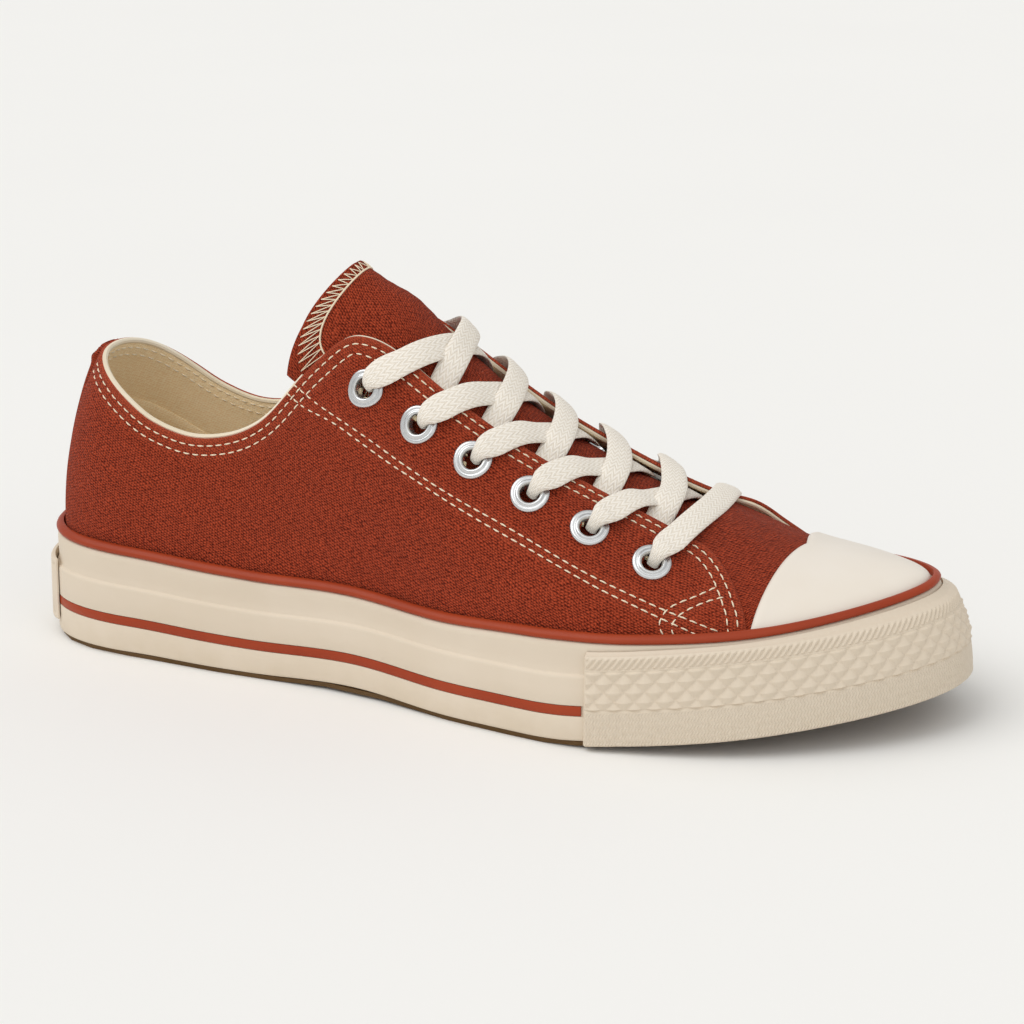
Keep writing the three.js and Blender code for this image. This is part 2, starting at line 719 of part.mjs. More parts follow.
const TONGUE_ALONG = [0.79, 0.765, 0.74, 0.722, 0.685, 0.64, 0.58, 0.52, 0.46];

function tongueUnder(s, row, layer) {
  const side = row < 0 ? -1 : 1;
  const v = 1 - Math.abs(row) * (1 - table(TONGUE_UNDER, 2, s));
  return skin(angleOf(s), v, side, -TONGUE_DEPTH * lines(TONGUE_UNDER, 1, s) - layer * TONGUE_WALL);
}

function tongueTop(row, layer) {
  const turn = (row * Math.PI) / 2;
  const half = TONGUE_HALF - layer * TONGUE_WALL;
  const bow = TONGUE_BOW - layer * TONGUE_WALL;
  const corner = TONGUE_CORNER * Math.abs(row) ** 5;
  return TONGUE_TOP.clone()
    .addScaledVector(TONGUE_BACK, bow * (1 - Math.cos(turn)) + layer * TONGUE_WALL)
    .addScaledVector(TONGUE_UP, -corner)
    .add(new THREE.Vector3(0, half * Math.sin(turn), 0));
}

function tongue() {
  const count = TONGUE_ALONG.length + TONGUE_FLARE.length;
  return shell(count, TONGUE_ROWS.length, (i, j, layer) => {
    const row = TONGUE_ROWS[j];
    if (i < TONGUE_ALONG.length) return tongueUnder(TONGUE_ALONG[i], row, layer);
    const t = TONGUE_FLARE[i - TONGUE_ALONG.length];
    const start = tongueUnder(TONGUE_FREE, row, layer);
    const before = tongueUnder(TONGUE_BEFORE, row, layer);
    const end = tongueTop(row, layer);
    const reach = start.distanceTo(end) / 3;
    const leave = start.clone().add(start.clone().sub(before).setLength(reach));
    const arrive = end.clone().addScaledVector(TONGUE_UP, -reach);
    const crown = TONGUE_CROWN * (1 - row ** 2) * Math.min(t / TONGUE_FLARE[1], 1);
    return new THREE.CubicBezierCurve3(start, leave, arrive, end).getPoint(t).addScaledVector(TONGUE_BACK, -crown);
  });
}

// Back stay up the middle of the heel.
const STAY_HALF = 7; // half width
const STAY_THICK = 0.9;
const STAY_DROP = 0.012; // how far it ends below the collar, as a share of the arch
function heelStrip() {
  const across = [-1, -0.5, 0, 0.5, 1];
  const rows = [0, 0.2, 0.4, 0.6, 0.8, 1];
  return shell(across.length, rows.length, (i, j, layer) => {
    const side = across[i] < 0 ? -1 : 1;
    let angle = 0;
    for (let k = 0; k < 40; k += 1) {
      const [, y] = outline(angle, side, topInset(0) + SIDEWALL + CLEAR);
      if (Math.abs(y) < Math.abs(across[i]) * STAY_HALF) angle += 0.002;
    }
    const low = shareAtHeight(angle, side, sideTop(0) + PIPING_HEIGHT + 2 * CLEAR);
    const high = quarterEdge(shareOf(angle)) - STAY_DROP;
    return skin(angle, low + (high - low) * rows[j], side, CLEAR + (layer === 0 ? STAY_THICK : 0));
  });
}

const EYELET_RISE = 1.4; // top of the flange over the canvas
const EYELET_SEAT = 0.45; // underside of the flange over the canvas
const BARREL_DEPTH = 2;
const FLANGE_TOP = 0.71; // radius of its highest line as a share of the flange
// Section of an eyelet. Columns: radius, height over the canvas.
const EYELET_SECTION = [
  [EYELET_HOLE, -BARREL_DEPTH],
  [EYELET_HOLE, EYELET_RISE / 2],
  [FLANGE_TOP * EYELET_OUTER, EYELET_RISE],
  [EYELET_OUTER, EYELET_SEAT],
  [BARREL, EYELET_SEAT],
  [BARREL, -BARREL_DEPTH],
];
const EYELET_SIDES = 10;

// Point near a place on the last, given in mm along the shoe and up the arch.
function nearby(s, v, side, along, up, off) {
  const angle = angleOf(s);
  const step = 1e-3;
  const perAngle = lastPoint(angle + step, v, side).sub(lastPoint(angle - step, v, side)).divideScalar(2 * step);
  const perShare = lastPoint(angle, v + step, side).sub(lastPoint(angle, v - step, side)).divideScalar(2 * step);
  const e1 = perAngle.clone().normalize();
  const skew = perShare.dot(e1);
  const rest = perShare.clone().addScaledVector(e1, -skew);
  const dv = up / rest.length();
  const da = (along - skew * dv) / perAngle.length();
  return skin(angle + da, v + dv, side, off);
}

function eyelet([s, v], side) {
  const sections = [];
  for (let k = 0; k < EYELET_SIDES; k += 1) {
    const turn = (2 * Math.PI * k) / EYELET_SIDES;
    sections.push(
      EYELET_SECTION.map(([radius, off]) =>
        nearby(s, v, side, radius * Math.cos(turn), radius * Math.sin(turn), off),
      ),
    );
  }
  return sweep(sections, true);
}

// Lace strap from an eyelet over the near edge, across the tongue and under the far edge. Columns: place, distance
// past it as a share of the width, heights of the under lace, the over lace and the front bar as shares of the
// thickness, shares of width and thickness.
const HOLE = 0;
const NEAR_EDGE = 1;
const CENTER = 2;
const FAR_EDGE = 3;
const UNDER = 2;
const OVER = 3;
const FRONT = 4;
const STRAP = [
  [HOLE, -0.1, -0.43, -0.43, -0.43, 0.38, 1.1],
  [HOLE, 0.035, 0.5, 0.5, 0.5, 0.38, 1.1],
  [HOLE, 0.22, 1.75, 1.75, 1.75, 0.5, 1.1],
  [HOLE, 0.5, 2.15, 2.15, 2.15, 0.8, 1],
  [HOLE, 0.8, 1.8, 1.8, 1.8, 1, 1],
  [NEAR_EDGE, -0.12, 1.3, 1.35, 1.35, 1, 1],
  [NEAR_EDGE, 0.3, 0.85, 1.1, 1.1, 1, 1],
  [CENTER, -1.1, -1.4, 0.3, 0.35, 1, 1],
  [CENTER, 0, -1.85, -0.5, -0.05, 1, 1],
  [CENTER, 1.1, -2, -0.6, -0.05, 1, 1],
  [FAR_EDGE, -0.3, -2.6, -2.5, -2.5, 1, 0.85],
  [FAR_EDGE, 0.35, -2.75, -2.75, -2.75, 1, 0.85],
];
// Where the laces run, from the ankle to the toe. Columns: shares of the length where a lace passes the edge on its
// starting side, the ridge and the edge on its far side.
const CROSSINGS = [
  [0.448, 0.485, 0.482],
  [0.502, 0.538, 0.538],
  [0.557, 0.59, 0.594],
  [0.614, 0.647, 0.654],
  [0.678, 0.706, 0.712],
];
const BAR_CROSSING = [0.738, 0.748, 0.738];
const PROBE = 0.01; // share of the arch over which distances across it are measured

// Place on the last at a signed share across the arch: minus on the starting side.
function acrossPoint(s, across, startSide, off) {
  const side = across < 0 ? startSide : -startSide;
  return skin(angleOf(s), 1 - Math.abs(across), side, off);
}

// Strap between two eyelets given as table rows; twoEnds brings both ends out of eyelets.
function strap(from, to, crossing, startSide, level, twoEnds) {
  const [nearAt, ridgeAt, farAt] = crossing;
  const anchors = [from[1] - 1, quarterEdge(nearAt) - 1, 0, 1 - quarterEdge(farAt), 1 - to[1]];
  const route = [from[0], nearAt, ridgeAt, farAt, to[0]].map((s, k) => [anchors[k], s]);
  const stationAt = (share) => table(route, 1, share);
  const scaleAt = anchors.map((share) => {
    const a = acrossPoint(stationAt(share - PROBE), share - PROBE, startSide, 0);
    const b = acrossPoint(stationAt(share + PROBE), share + PROBE, startSide, 0);
    return a.distanceTo(b) / (2 * PROBE);
  });
  const upToMiddle = STRAP.filter((row) => row[0] < CENTER || (row[0] === CENTER && row[1] <= 0));
  const mirrored = upToMiddle
    .slice(0, -1)
    .reverse()
    .map(([place, past, ...rest]) => [anchors.length - 1 - place, -past, ...rest]);
  const rows = twoEnds ? [...upToMiddle, ...mirrored] : STRAP;
  const nodes = rows.map((row) => {
    const [place, past] = row;
    const [width, thick] = row.slice(-2);
    const share = anchors[place] + (past * LACE_WIDTH) / scaleAt[place];
    const at = (off) => acrossPoint(stationAt(share), share, startSide, off);
    const middle = row[level] * LACE_THICK;
    return { point: at(middle), over: at(middle + LACE_WIDTH), width: LACE_WIDTH * width, thick: LACE_THICK * thick };
  });
  const sections = nodes.map(({ point, over, width, thick }, k) => {
    const before = nodes[Math.max(k - 1, 0)].point;
    const after = nodes[Math.min(k + 1, nodes.length - 1)].point;
    const along = after.clone().sub(before).normalize();
    const aside = along.clone().cross(over.clone().sub(point)).normalize();
    const face = aside.clone().cross(along).normalize();
    const corner = (a, b) =>
      point.clone().addScaledVector(aside, (a * width) / 2).addScaledVector(face, (b * thick) / 2);
    return [corner(-1, 1), corner(1, 1), corner(1, -1), corner(-1, -1)];
  });
  return sweep(sections, false);
}

// Looks: colour, roughness, metalness.
const LOOKS = {
  canvas: [0xa23c28, 0.9, 0],
  strip: [0x96412d, 0.75, 0],
  rubber: [0xddd2c0, 0.6, 0],
  cap: [0xe9e2d6, 0.5, 0],
  gum: [0x8a5a3a, 0.65, 0],
  foam: [0xe6dcc8, 0.9, 0],
  lining: [0xd9c7a4, 0.9, 0],
  metal: [0xc9c9c6, 0.3, 1],
  lace: [0xe8e0d2, 0.9, 0],
};

const sneaker = new THREE.Group();
function add(name, look, solid) {
  const raw = solid.getMesh();
  const geometry = new THREE.BufferGeometry();
  geometry.setAttribute("position", new THREE.BufferAttribute(Float32Array.from(raw.vertProperties), 3));
  geometry.setIndex(new THREE.BufferAttribute(Uint32Array.from(raw.triVerts), 1));
  geometry.computeVertexNormals();
  const [color, roughness, metalness] = LOOKS[look];
  const mesh = new THREE.Mesh(geometry, new THREE.MeshStandardMaterial({ color, roughness, metalness }));
  mesh.name = name;
  sneaker.add(mesh);
}

add("outsole", "gum", outsole());
add("midsole", "foam", midsole());
add("foxing", "rubber", foxing());
add("stripe", "strip", stripe());
add("bumper", "rubber", bumper());
add("heel_patch", "rubber", heelPatch());
add("piping", "strip", piping());
add("insole", "lining", insole());
add("upper", "canvas", upper());
add("toe_cap", "cap", toeCap());
add("tongue", "canvas", tongue());
add("heel_strip", "canvas", heelStrip());
EYELETS.forEach((place, k) => {
  add("eyelet_lateral_" + (k + 1), "metal", eyelet(place, -1));
  add("eyelet_medial_" + (k + 1), "metal", eyelet(place, 1));
});
CROSSINGS.forEach((crossing, k) => {
  const lower = strap(EYELETS[k], EYELETS[k + 1], crossing, -1, UNDER, false);
  const over = strap(EYELETS[k], EYELETS[k + 1], crossing, 1, OVER, false);
  add("lace_cross_" + (k + 1), "lace", lower.add(over));
});
const lastEyelet = EYELETS[EYELETS.length - 1];
add("lace_bar", "lace", strap(lastEyelet, lastEyelet, BAR_CROSSING, -1, FRONT, true));

const box = new THREE.Box3().setFromObject(sneaker);
sneaker.position.set(-(box.min.x + box.max.x) / 2, -(box.min.y + box.max.y) / 2, -box.min.z);

export default sneaker;
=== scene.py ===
# %% [markdown]
# A low canvas sneaker, dressed over its CAD model. The real shoe is sewn from canvas and a cotton lining,
# wrapped in a rubber sidewall and laced through metal eyelets. Each cell first says what a piece is on the
# real shoe and how it could be made, then makes it. The CAD model comes first, because every piece sits on
# it. Its solids stay where they are and only hide where a finer piece stands for them.

# %% Load the CAD model
import math

import bpy
import numpy as np
from mathutils import Matrix, Vector


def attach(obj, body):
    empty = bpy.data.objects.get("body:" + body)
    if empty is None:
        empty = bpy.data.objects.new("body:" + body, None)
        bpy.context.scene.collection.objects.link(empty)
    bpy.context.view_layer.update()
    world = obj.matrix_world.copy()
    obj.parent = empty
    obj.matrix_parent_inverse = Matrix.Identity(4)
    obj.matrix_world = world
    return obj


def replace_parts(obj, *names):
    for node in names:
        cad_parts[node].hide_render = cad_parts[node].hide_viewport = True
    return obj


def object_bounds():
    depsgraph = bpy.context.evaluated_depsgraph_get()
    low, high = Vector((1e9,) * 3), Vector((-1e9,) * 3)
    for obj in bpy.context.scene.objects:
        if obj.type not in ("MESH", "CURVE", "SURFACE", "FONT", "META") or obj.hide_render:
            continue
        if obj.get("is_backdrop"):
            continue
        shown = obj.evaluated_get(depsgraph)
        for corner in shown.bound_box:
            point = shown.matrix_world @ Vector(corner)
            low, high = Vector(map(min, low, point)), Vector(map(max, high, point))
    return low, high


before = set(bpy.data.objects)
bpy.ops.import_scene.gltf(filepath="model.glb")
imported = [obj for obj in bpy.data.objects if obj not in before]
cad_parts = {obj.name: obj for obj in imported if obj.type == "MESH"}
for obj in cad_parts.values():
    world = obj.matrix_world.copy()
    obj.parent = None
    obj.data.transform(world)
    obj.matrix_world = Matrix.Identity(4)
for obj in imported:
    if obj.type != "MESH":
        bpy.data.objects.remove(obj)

cad_low, cad_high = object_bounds()
print("CAD solids:", len(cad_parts), "- size in mm:", [round(1000 * c) for c in cad_high - cad_low])

# %% [markdown]
# The shoe's surfaces all hang on one shape, the shoemaker's last, so its tables are repeated here in
# millimetres. Modelling by eye would drift away from the solids. The same tables give the same surface, at
# any fineness.

# %% Sizes and tables of the last
LENGTH, BALL = 300.0, 107.0
SHIFT = np.array([1.0852, -0.1531, 0.0])
SPRING, SPRING_FROM, SPRING_POWER = 13.0, 0.62, 1.4
WAIST_LIFT, WAIST_AT, WAIST_REACH = 1.2, 0.4, 0.12
SIDEWALL, CLEAR, LAP = 3.0, 0.3, 0.9
# Length in mm and fullness of the roundings: the outline at heel and toe, the arch and its bulge at the toe.
HEEL_ROUND, TOE_ROUND, ARCH_ROUND, BULGE_ROUND = (40, 2.05), (70, 2.15), (40, 2.6), (40, 2)
HEEL_LEAN, LEAN_REACH, LEAN_POWER = 88, 0.42, 1.6
TUCK, FLOOR_UP = 1.5, 12.3  # mm of the last below the sidewall's top, and of its floor over the sole's bottom
ARCH_GIRTH = 90  # mm that the whole arch is long, roughly
CAP_START, CAP_SWEEP = 0.8325, 0.0175
SIDES = ((-1, "outer"), (1, "inner"))
OUTLINE = [
    (0, 0, 0.35), (0.1, 0.004, 0.315), (0.24, 0.008, 0.344), (0.4, -0.012, 0.35), (0.55, -0.022, 0.436),
    (0.68, 0, 0.503), (0.8, 0.034, 0.478), (0.92, 0.062, 0.408), (1, 0.074, 0.345),
]
SIDE = [
    (0, 35, 1.2), (0.25, 32, 1.2), (0.5, 30, 1.8), (0.65, 31.4, 2.44), (0.71, 30.5, 3.36), (0.85, 28.7, 6.2),
    (1, 29.75, 9.2),
]
RECESS = [(0, 0), (0.65, 0), (0.71, 1.6), (1, 1.6)]
ARCHES = [
    (0, 150, 0.78, 0.54, 0.5), (0.12, 148, 0.32, 0.51, 0.6), (0.25, 141.5, 0.05, 0.46, 0.7),
    (0.37, 141, 0.17, 0.64, 0.9), (0.45, 116, 0.27, 0.76, 1.1), (0.55, 90, 0.35, 0.7, 1.25),
    (0.65, 72.3, 0.34, 0.61, 1.25), (0.75, 60.4, 0.31, 0.51, 1.1), (0.83, 51.6, 0.32, 0.46, 0.9),
    (0.92, 47.4, 0.45, 0.45, 0.7), (1, 47.2, 0.55, 0.45, 0.3),
]
QUARTER_EDGE = [
    (0, 0.277), (0.03, 0.288), (0.075, 0.304), (0.12, 0.319), (0.161, 0.343), (0.209, 0.392), (0.26, 0.452),
    (0.301, 0.508), (0.349, 0.563), (0.394, 0.638), (0.427, 0.688), (0.497, 0.725), (0.594, 0.757),
    (0.656, 0.765), (0.7, 0.75), (0.743, 0.708), (0.762, 0.682), (0.78, 0.628), (0.797, 0.54), (0.814, 0.4),
    (0.825, 0.25), (0.829, 0.137), (0.8325, 0.02),
]
EYELETS = [(0.407, 0.543), (0.468, 0.566), (0.528, 0.582), (0.589, 0.589), (0.653, 0.575), (0.721, 0.514)]


def curve(rows, column, at):
    """Smooth curve through a column of a table, with parabolic slopes."""
    rows = np.asarray(rows, float)
    x, y = rows[:, 0], rows[:, column]
    width = np.diff(x)
    step = np.diff(y) / width
    inner = (step[:-1] * width[1:] + step[1:] * width[:-1]) / (width[:-1] + width[1:])
    slope = np.concatenate([step[:1], inner, step[-1:]])
    at = np.clip(at, x[0], x[-1])
    k = np.clip(np.searchsorted(x, at) - 1, 0, len(x) - 2)
    t = (at - x[k]) / width[k]
    ends = (2 * t**3 - 3 * t**2 + 1) * y[k] + (3 * t**2 - 2 * t**3) * y[k + 1]
    return ends + width[k] * ((t**3 - 2 * t**2 + t) * slope[k] + (t**3 - t**2) * slope[k + 1])


def edge_share(s):
    return curve(QUARTER_EDGE, 1, s)


print("edge of the quarters over the ball, share of the arch:", round(float(edge_share(0.68)), 3))

# %% [markdown]
# The outline of the sole gives the floor plan, and the last rises from it in arches. A place on the shoe is
# then an angle along it, a share of the arch and a side: -1 is the outer side of the foot, 1 the inner.

# %% The outline and the last
def rounded(distance, length, fullness):
    return (1 - np.clip(1 - distance / length, 0, 1) ** fullness) ** (1 / fullness)


def angle_of(share):
    return np.arccos(1 - 2 * np.asarray(share, float)) / math.pi


def share_of(angle):
    return (1 - np.cos(math.pi * np.clip(angle, 0, 1))) / 2


def unit(vector):
    return vector / np.maximum(np.linalg.norm(vector, axis=-1, keepdims=True), 1e-9)


def rim(angle, side):
    s = share_of(angle)
    half = BALL * curve(OUTLINE, 2, s) * rounded(s * LENGTH, *HEEL_ROUND)
    half = half * rounded((1 - s) * LENGTH, *TOE_ROUND)
    return np.stack([(s - 0.5) * LENGTH, BALL * curve(OUTLINE, 1, s) + side * half], -1)


def outline(angle, side, inset):
    """Point of the sole's outline, moved in by the inset."""
    angle, side, inset = np.broadcast_arrays(np.asarray(angle, float), side, inset)
    ahead = unit(rim(angle + 1e-3, side) - rim(angle - 1e-3, side))
    inward = np.stack([ahead[..., 1] * side, -ahead[..., 0] * side], -1)
    inward[angle < 1e-6] = (1, 0)
    inward[angle > 1 - 1e-6] = (-1, 0)
    return rim(angle, side) + inward * inset[..., None]


def bottom_z(x):
    s = np.minimum(x / LENGTH + 0.5, 1)
    waist = np.clip(1 - np.abs(s - WAIST_AT) / WAIST_REACH, 0, 1)
    toe = np.maximum((s - SPRING_FROM) / (1 - SPRING_FROM), 0)
    return WAIST_LIFT * np.sin(math.pi * waist / 2) ** 2 + SPRING * toe**SPRING_POWER


def last_point(angle, v, side):
    """Point of the last: v is -1 to 0 inside the sidewall and 0 to 1 up the arch to the ridge."""
    angle, v, side = np.broadcast_arrays(np.asarray(angle, float), np.asarray(v, float), side)
    s = share_of(angle)
    inset = curve(SIDE, 2, s) + SIDEWALL + CLEAR
    near, far = outline(angle, side, inset), outline(angle, -side, inset)
    bottom = bottom_z(near[..., 0])
    base = bottom + curve(SIDE, 1, s) - TUCK
    middle = (near + far) / 2
    half = np.linalg.norm(near - far, axis=-1) / 2
    aside = (near - middle) / np.maximum(half, 1e-6)[..., None]
    aside = np.where((half > 1e-6)[..., None], aside, np.stack([0 * half, side + 0 * half], -1))
    height = (curve(ARCHES, 1, s) - base) * rounded((1 - s) * LENGTH, *ARCH_ROUND)
    rise = np.maximum(curve(ARCHES, 2, s), 0.04) * height
    shoulder = half * curve(ARCHES, 3, s)
    bulge = curve(ARCHES, 4, s) * rounded((1 - s) * LENGTH, *BULGE_ROUND)
    lean = HEEL_LEAN * np.maximum(1 - s / LEAN_REACH, 0) ** LEAN_POWER
    p0 = np.concatenate([near, base[..., None]], -1)
    p3 = np.concatenate([middle + np.stack([lean, 0 * lean], -1), (base + height)[..., None]], -1)
    p1 = p0 + np.concatenate([aside * bulge[..., None], rise[..., None]], -1)
    p2 = p3 + np.concatenate([aside * shoulder[..., None], 0 * rise[..., None]], -1)
    t = np.clip(v, 0, 1)[..., None]
    arch = p0 * (1 - t) ** 3 + 3 * p1 * t * (1 - t) ** 2 + 3 * p2 * t**2 * (1 - t) + p3 * t**3
    arch[..., 2] += np.minimum(v, 0) * (base - bottom - FLOOR_UP)
    return arch


def last_normal(angle, v, side):
    angle, v, side = np.broadcast_arrays(np.asarray(angle, float), np.asarray(v, float), side)
    step = 2e-3
    before, after = np.maximum(angle - step, 0), np.minimum(angle + step, 1 - 1e-5)
    along = last_point(after, v, side) - last_point(before, v, side)
    low, high = np.clip(v - step, 1e-4, 1), np.clip(v + step, 2e-4, 1)
    across = last_point(angle, high, side) - last_point(angle, low, side)
    normal = -np.cross(along, across) * side[..., None]
    wall = outline(angle, side, 0.0) - outline(angle, side, 1.0)
    skirt = np.concatenate([wall, 0 * wall[..., :1]], -1)
    normal = np.where((v <= 0)[..., None], skirt, normal)
    normal[..., 1] = np.where(v > 1 - 1e-6, 0, normal[..., 1])
    normal[angle > 1 - 1e-6] = (1, 0, 0)
    return unit(normal)


def surface(angle, v, side):
    """Points of the last and their normals."""
    return last_point(angle, v, side), last_normal(angle, v, side)


def skin(angle, v, side, off):
    """Points at a height over the last, in mm."""
    base, normal = surface(angle, v, side)
    return base + normal * np.asarray(off, float)[..., None]


print("top of the last over the instep, mm:", np.round(last_point(angle_of(0.45), 1.0, 1), 1))

# %% [markdown]
# Every piece becomes a mesh from rows of points. One helper joins sections into a closed tube or a closed
# sheet, with smooth shading and a UV map in millimetres, so that weaves and ribs come out at their real
# scale.

# %% Mesh helpers
def add_object(name, data):
    made = bpy.data.objects.new(name, data)
    bpy.context.scene.collection.objects.link(made)
    return made


def close_up(name, points, faces, cloth=None, sharp=40, finish=None, slot=None):
    """Mesh object from points in mm, faces and, for each point, its place on the cloth in mm."""
    mesh = bpy.data.meshes.new(name)
    placed = ((np.asarray(points) + SHIFT) / 1000).tolist()
    mesh.from_pydata(placed, [], [tuple(int(k) for k in f) for f in faces])
    mesh.update()
    if cloth is not None:
        corners = np.zeros(len(mesh.loops), np.int32)
        mesh.loops.foreach_get("vertex_index", corners)
        uv_map = mesh.uv_layers.new(name="cloth")
        uv_map.data.foreach_set("uv", np.asarray(cloth, np.float32)[corners].ravel())
    mesh.shade_smooth()
    mesh.set_sharp_from_angle(angle=math.radians(sharp))
    piece = add_object(name, mesh)
    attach(piece, "root")
    if finish is not None:
        mesh.materials.append(finish)
    return piece


def tube_faces(count, size, ring):
    """Faces of sections joined one to the next; a ring joins the last to the first."""
    faces = []
    for i in range(count if ring else count - 1):
        a, b = i * size, ((i + 1) % count) * size
        faces += [(a + j, b + j, b + (j + 1) % size, a + (j + 1) % size) for j in range(size)]
    if not ring:
        faces += [tuple(range(size)), tuple(reversed(range((count - 1) * size, count * size)))]
    return faces


def outward(points, faces):
    """The faces, turned over if they enclose a negative volume."""
    p = np.asarray(points)
    volume = 0.0
    for f in faces:
        for k in range(1, len(f) - 1):
            volume += float(np.dot(p[f[0]], np.cross(p[f[k]], p[f[k + 1]])))
    return faces if volume > 0 else [tuple(reversed(f)) for f in faces]


def tube(name, sections, ring=False, cloth=None, **looks):
    """Closed piece from an array of sections (count, size, 3)."""
    count, size = sections.shape[:2]
    points = sections.reshape(-1, 3)
    faces = outward(points, tube_faces(count, size, ring))
    if cloth is None:
        along = np.linalg.norm(np.diff(sections, axis=0), axis=2).mean(1)
        round_it = np.linalg.norm(np.diff(sections, axis=1), axis=2)
        u = np.concatenate([[0], np.cumsum(along)])[:, None] + np.zeros((count, size))
        v = np.concatenate([np.zeros((count, 1)), np.cumsum(round_it, 1)], 1)
        cloth = np.stack([u, v], -1).reshape(-1, 2)
    return close_up(name, points, faces, cloth, **looks)


def sheet(name, outer, inner, holes=None, **looks):
    """Closed sheet from two grids of points (columns, rows, 3); faces in the holes are left out."""
    columns, rows = outer.shape[:2]
    points = np.concatenate([outer.reshape(-1, 3), inner.reshape(-1, 3)])
    layer = columns * rows
    keep = np.ones((columns - 1, rows - 1), bool) if holes is None else ~holes
    faces = []
    for i in range(columns - 1):
        for j in range(rows - 1):
            if keep[i, j]:
                a = i * rows + j
                faces.append((a, a + rows, a + rows + 1, a + 1))
                faces.append((a + layer, a + 1 + layer, a + rows + 1 + layer, a + rows + layer))
    for i in range(columns - 1):
        a, b = i * rows, (i + 1) * rows
        faces.append((b, a, a + layer, b + layer))
        faces.append((a + rows - 1, b + rows - 1, b + rows - 1 + layer, a + rows - 1 + layer))
    for j in range(rows - 1):
        a, b = j, (columns - 1) * rows + j
        faces.append((a, a + 1, a + 1 + layer, a + layer))
        faces.append((b + 1, b, b + layer, b + 1 + layer))
    return close_up(name, points, outward(points, faces), cloth_of(outer), **looks)


def layer(name, base, normal, outer, inner, holes=None, **looks):
    """Closed sheet between two heights over a grid of points, each one number or a grid of numbers in mm."""
    outer, inner = (base + normal * np.asarray(height)[..., None] for height in (outer, inner))
    return sheet(name, outer, inner, holes, **looks)


def run_of(path):
    """Length along a path at each of its points."""
    return np.concatenate([[0], np.cumsum(np.linalg.norm(np.diff(path, axis=0), axis=1))])


def cloth_of(outer):
    """Place of each point on the flat cloth: mm along the shoe and mm up from the first row."""
    along = run_of(outer[:, outer.shape[1] // 3])
    rises = np.cumsum(np.linalg.norm(np.diff(outer, axis=1), axis=2), 1)
    up = np.concatenate([np.zeros((len(outer), 1)), rises], 1)
    place = np.stack([along[:, None] + 0 * up, up], -1).reshape(-1, 2)
    return np.concatenate([place, place])


def even_angles(start, end, side, step):
    """Angles along one side of the shoe at even steps of the outline, in mm."""
    fine = np.linspace(angle_of(start), angle_of(end), 4000)
    run = run_of(outline(fine, side, 4.0))
    return np.interp(np.linspace(0, run[-1], max(int(run[-1] / step), 2) + 1), run, fine)


def both_sides(outer, inner):
    """Values of the outer side and then of the inner, and the side that each is on."""
    return np.concatenate([outer, inner]), np.concatenate([-np.ones(len(outer)), np.ones(len(inner))])


print("helpers ready; a 1.5 mm grid has", len(even_angles(0, CAP_START, -1, 1.5)), "columns along one side")

# %% [markdown]
# Finishes are node materials. Small helpers keep them readable: one adds a node, one does sums on the cloth's
# millimetres, and one turns a height into a bump.

# %% Node helpers
def new_finish(name, colour, roughness):
    material = bpy.data.materials.new(name)
    material.use_nodes = True
    shader = material.node_tree.nodes["Principled BSDF"]
    shader.inputs["Base Color"].default_value = (*colour, 1)
    shader.inputs["Roughness"].default_value = roughness
    material.diffuse_color = (*colour, 1)
    return material


def node(material, kind, settings=None, **sockets):
    """Adds a node; sockets are given by name, as a value or as another node's output."""
    made = material.node_tree.nodes.new(kind)
    for key, value in (settings or {}).items():
        setattr(made, key, value)
    for key, value in sockets.items():
        socket = made.inputs[int(key[1:])] if key[1:].isdigit() else made.inputs[key.replace("_", " ")]
        if isinstance(value, bpy.types.NodeSocket):
            material.node_tree.links.new(value, socket)
        else:
            socket.default_value = value
    return made


def sums(material, operation, a, b=0.0):
    return node(material, "ShaderNodeMath", {"operation": operation}, i0=a, i1=b).outputs[0]


def plus(material, a, b):
    return sums(material, "ADD", a, b)


def times(material, a, b):
    return sums(material, "MULTIPLY", a, b)


def cloth_place(material, waver=0.0):
    """The two millimetre coordinates of the cloth, wavering a little as real threads do."""
    uv = node(material, "ShaderNodeUVMap", {"uv_map": "cloth"}).outputs[0]
    if waver:
        cloud = node(material, "ShaderNodeTexNoise", Vector=uv, Scale=0.16, Detail=3.0).outputs["Color"]
        push = node(material, "ShaderNodeVectorMath", {"operation": "MULTIPLY_ADD"}, i0=cloud,
                    i1=(waver,) * 3, i2=uv)
        uv = push.outputs[0]
    split = node(material, "ShaderNodeSeparateXYZ", Vector=uv)
    return split.outputs[0], split.outputs[1], uv


def noise(material, scale, detail=2.0, vector=None):
    """Noise over the object in metres, or over the cloth in millimetres."""
    if vector is None:
        vector = node(material, "ShaderNodeTexCoord").outputs["Object"]
    return node(material, "ShaderNodeTexNoise", Vector=vector, Scale=scale, Detail=detail).outputs[0]


def blend_colour(material, factor, a, b):
    made = node(material, "ShaderNodeMix", {"data_type": "RGBA"})
    for index, value in ((0, factor), (6, a), (7, b)):
        if isinstance(value, bpy.types.NodeSocket):
            material.node_tree.links.new(value, made.inputs[index])
        else:
            made.inputs[index].default_value = value if index == 0 else (*value, 1)
    return made.outputs[2]


def span(material, value, low, high, new_low=0.0, new_high=1.0):
    made = node(material, "ShaderNodeMapRange", None, i0=value, i1=low, i2=high, i3=new_low, i4=new_high)
    return made.outputs[0]


def put(material, colour=None, height=None, depth=0.0001, roughness=None):
    """Joins colour, bump and roughness to the shader."""
    shader = material.node_tree.nodes["Principled BSDF"]
    link = material.node_tree.links.new
    if colour is not None:
        link(colour, shader.inputs["Base Color"])
    if roughness is not None:
        link(roughness, shader.inputs["Roughness"])
    if height is not None:
        bump = node(material, "ShaderNodeBump", None, Strength=1.0, Distance=depth, Height=height)
        link(bump.outputs[0], shader.inputs["Normal"])


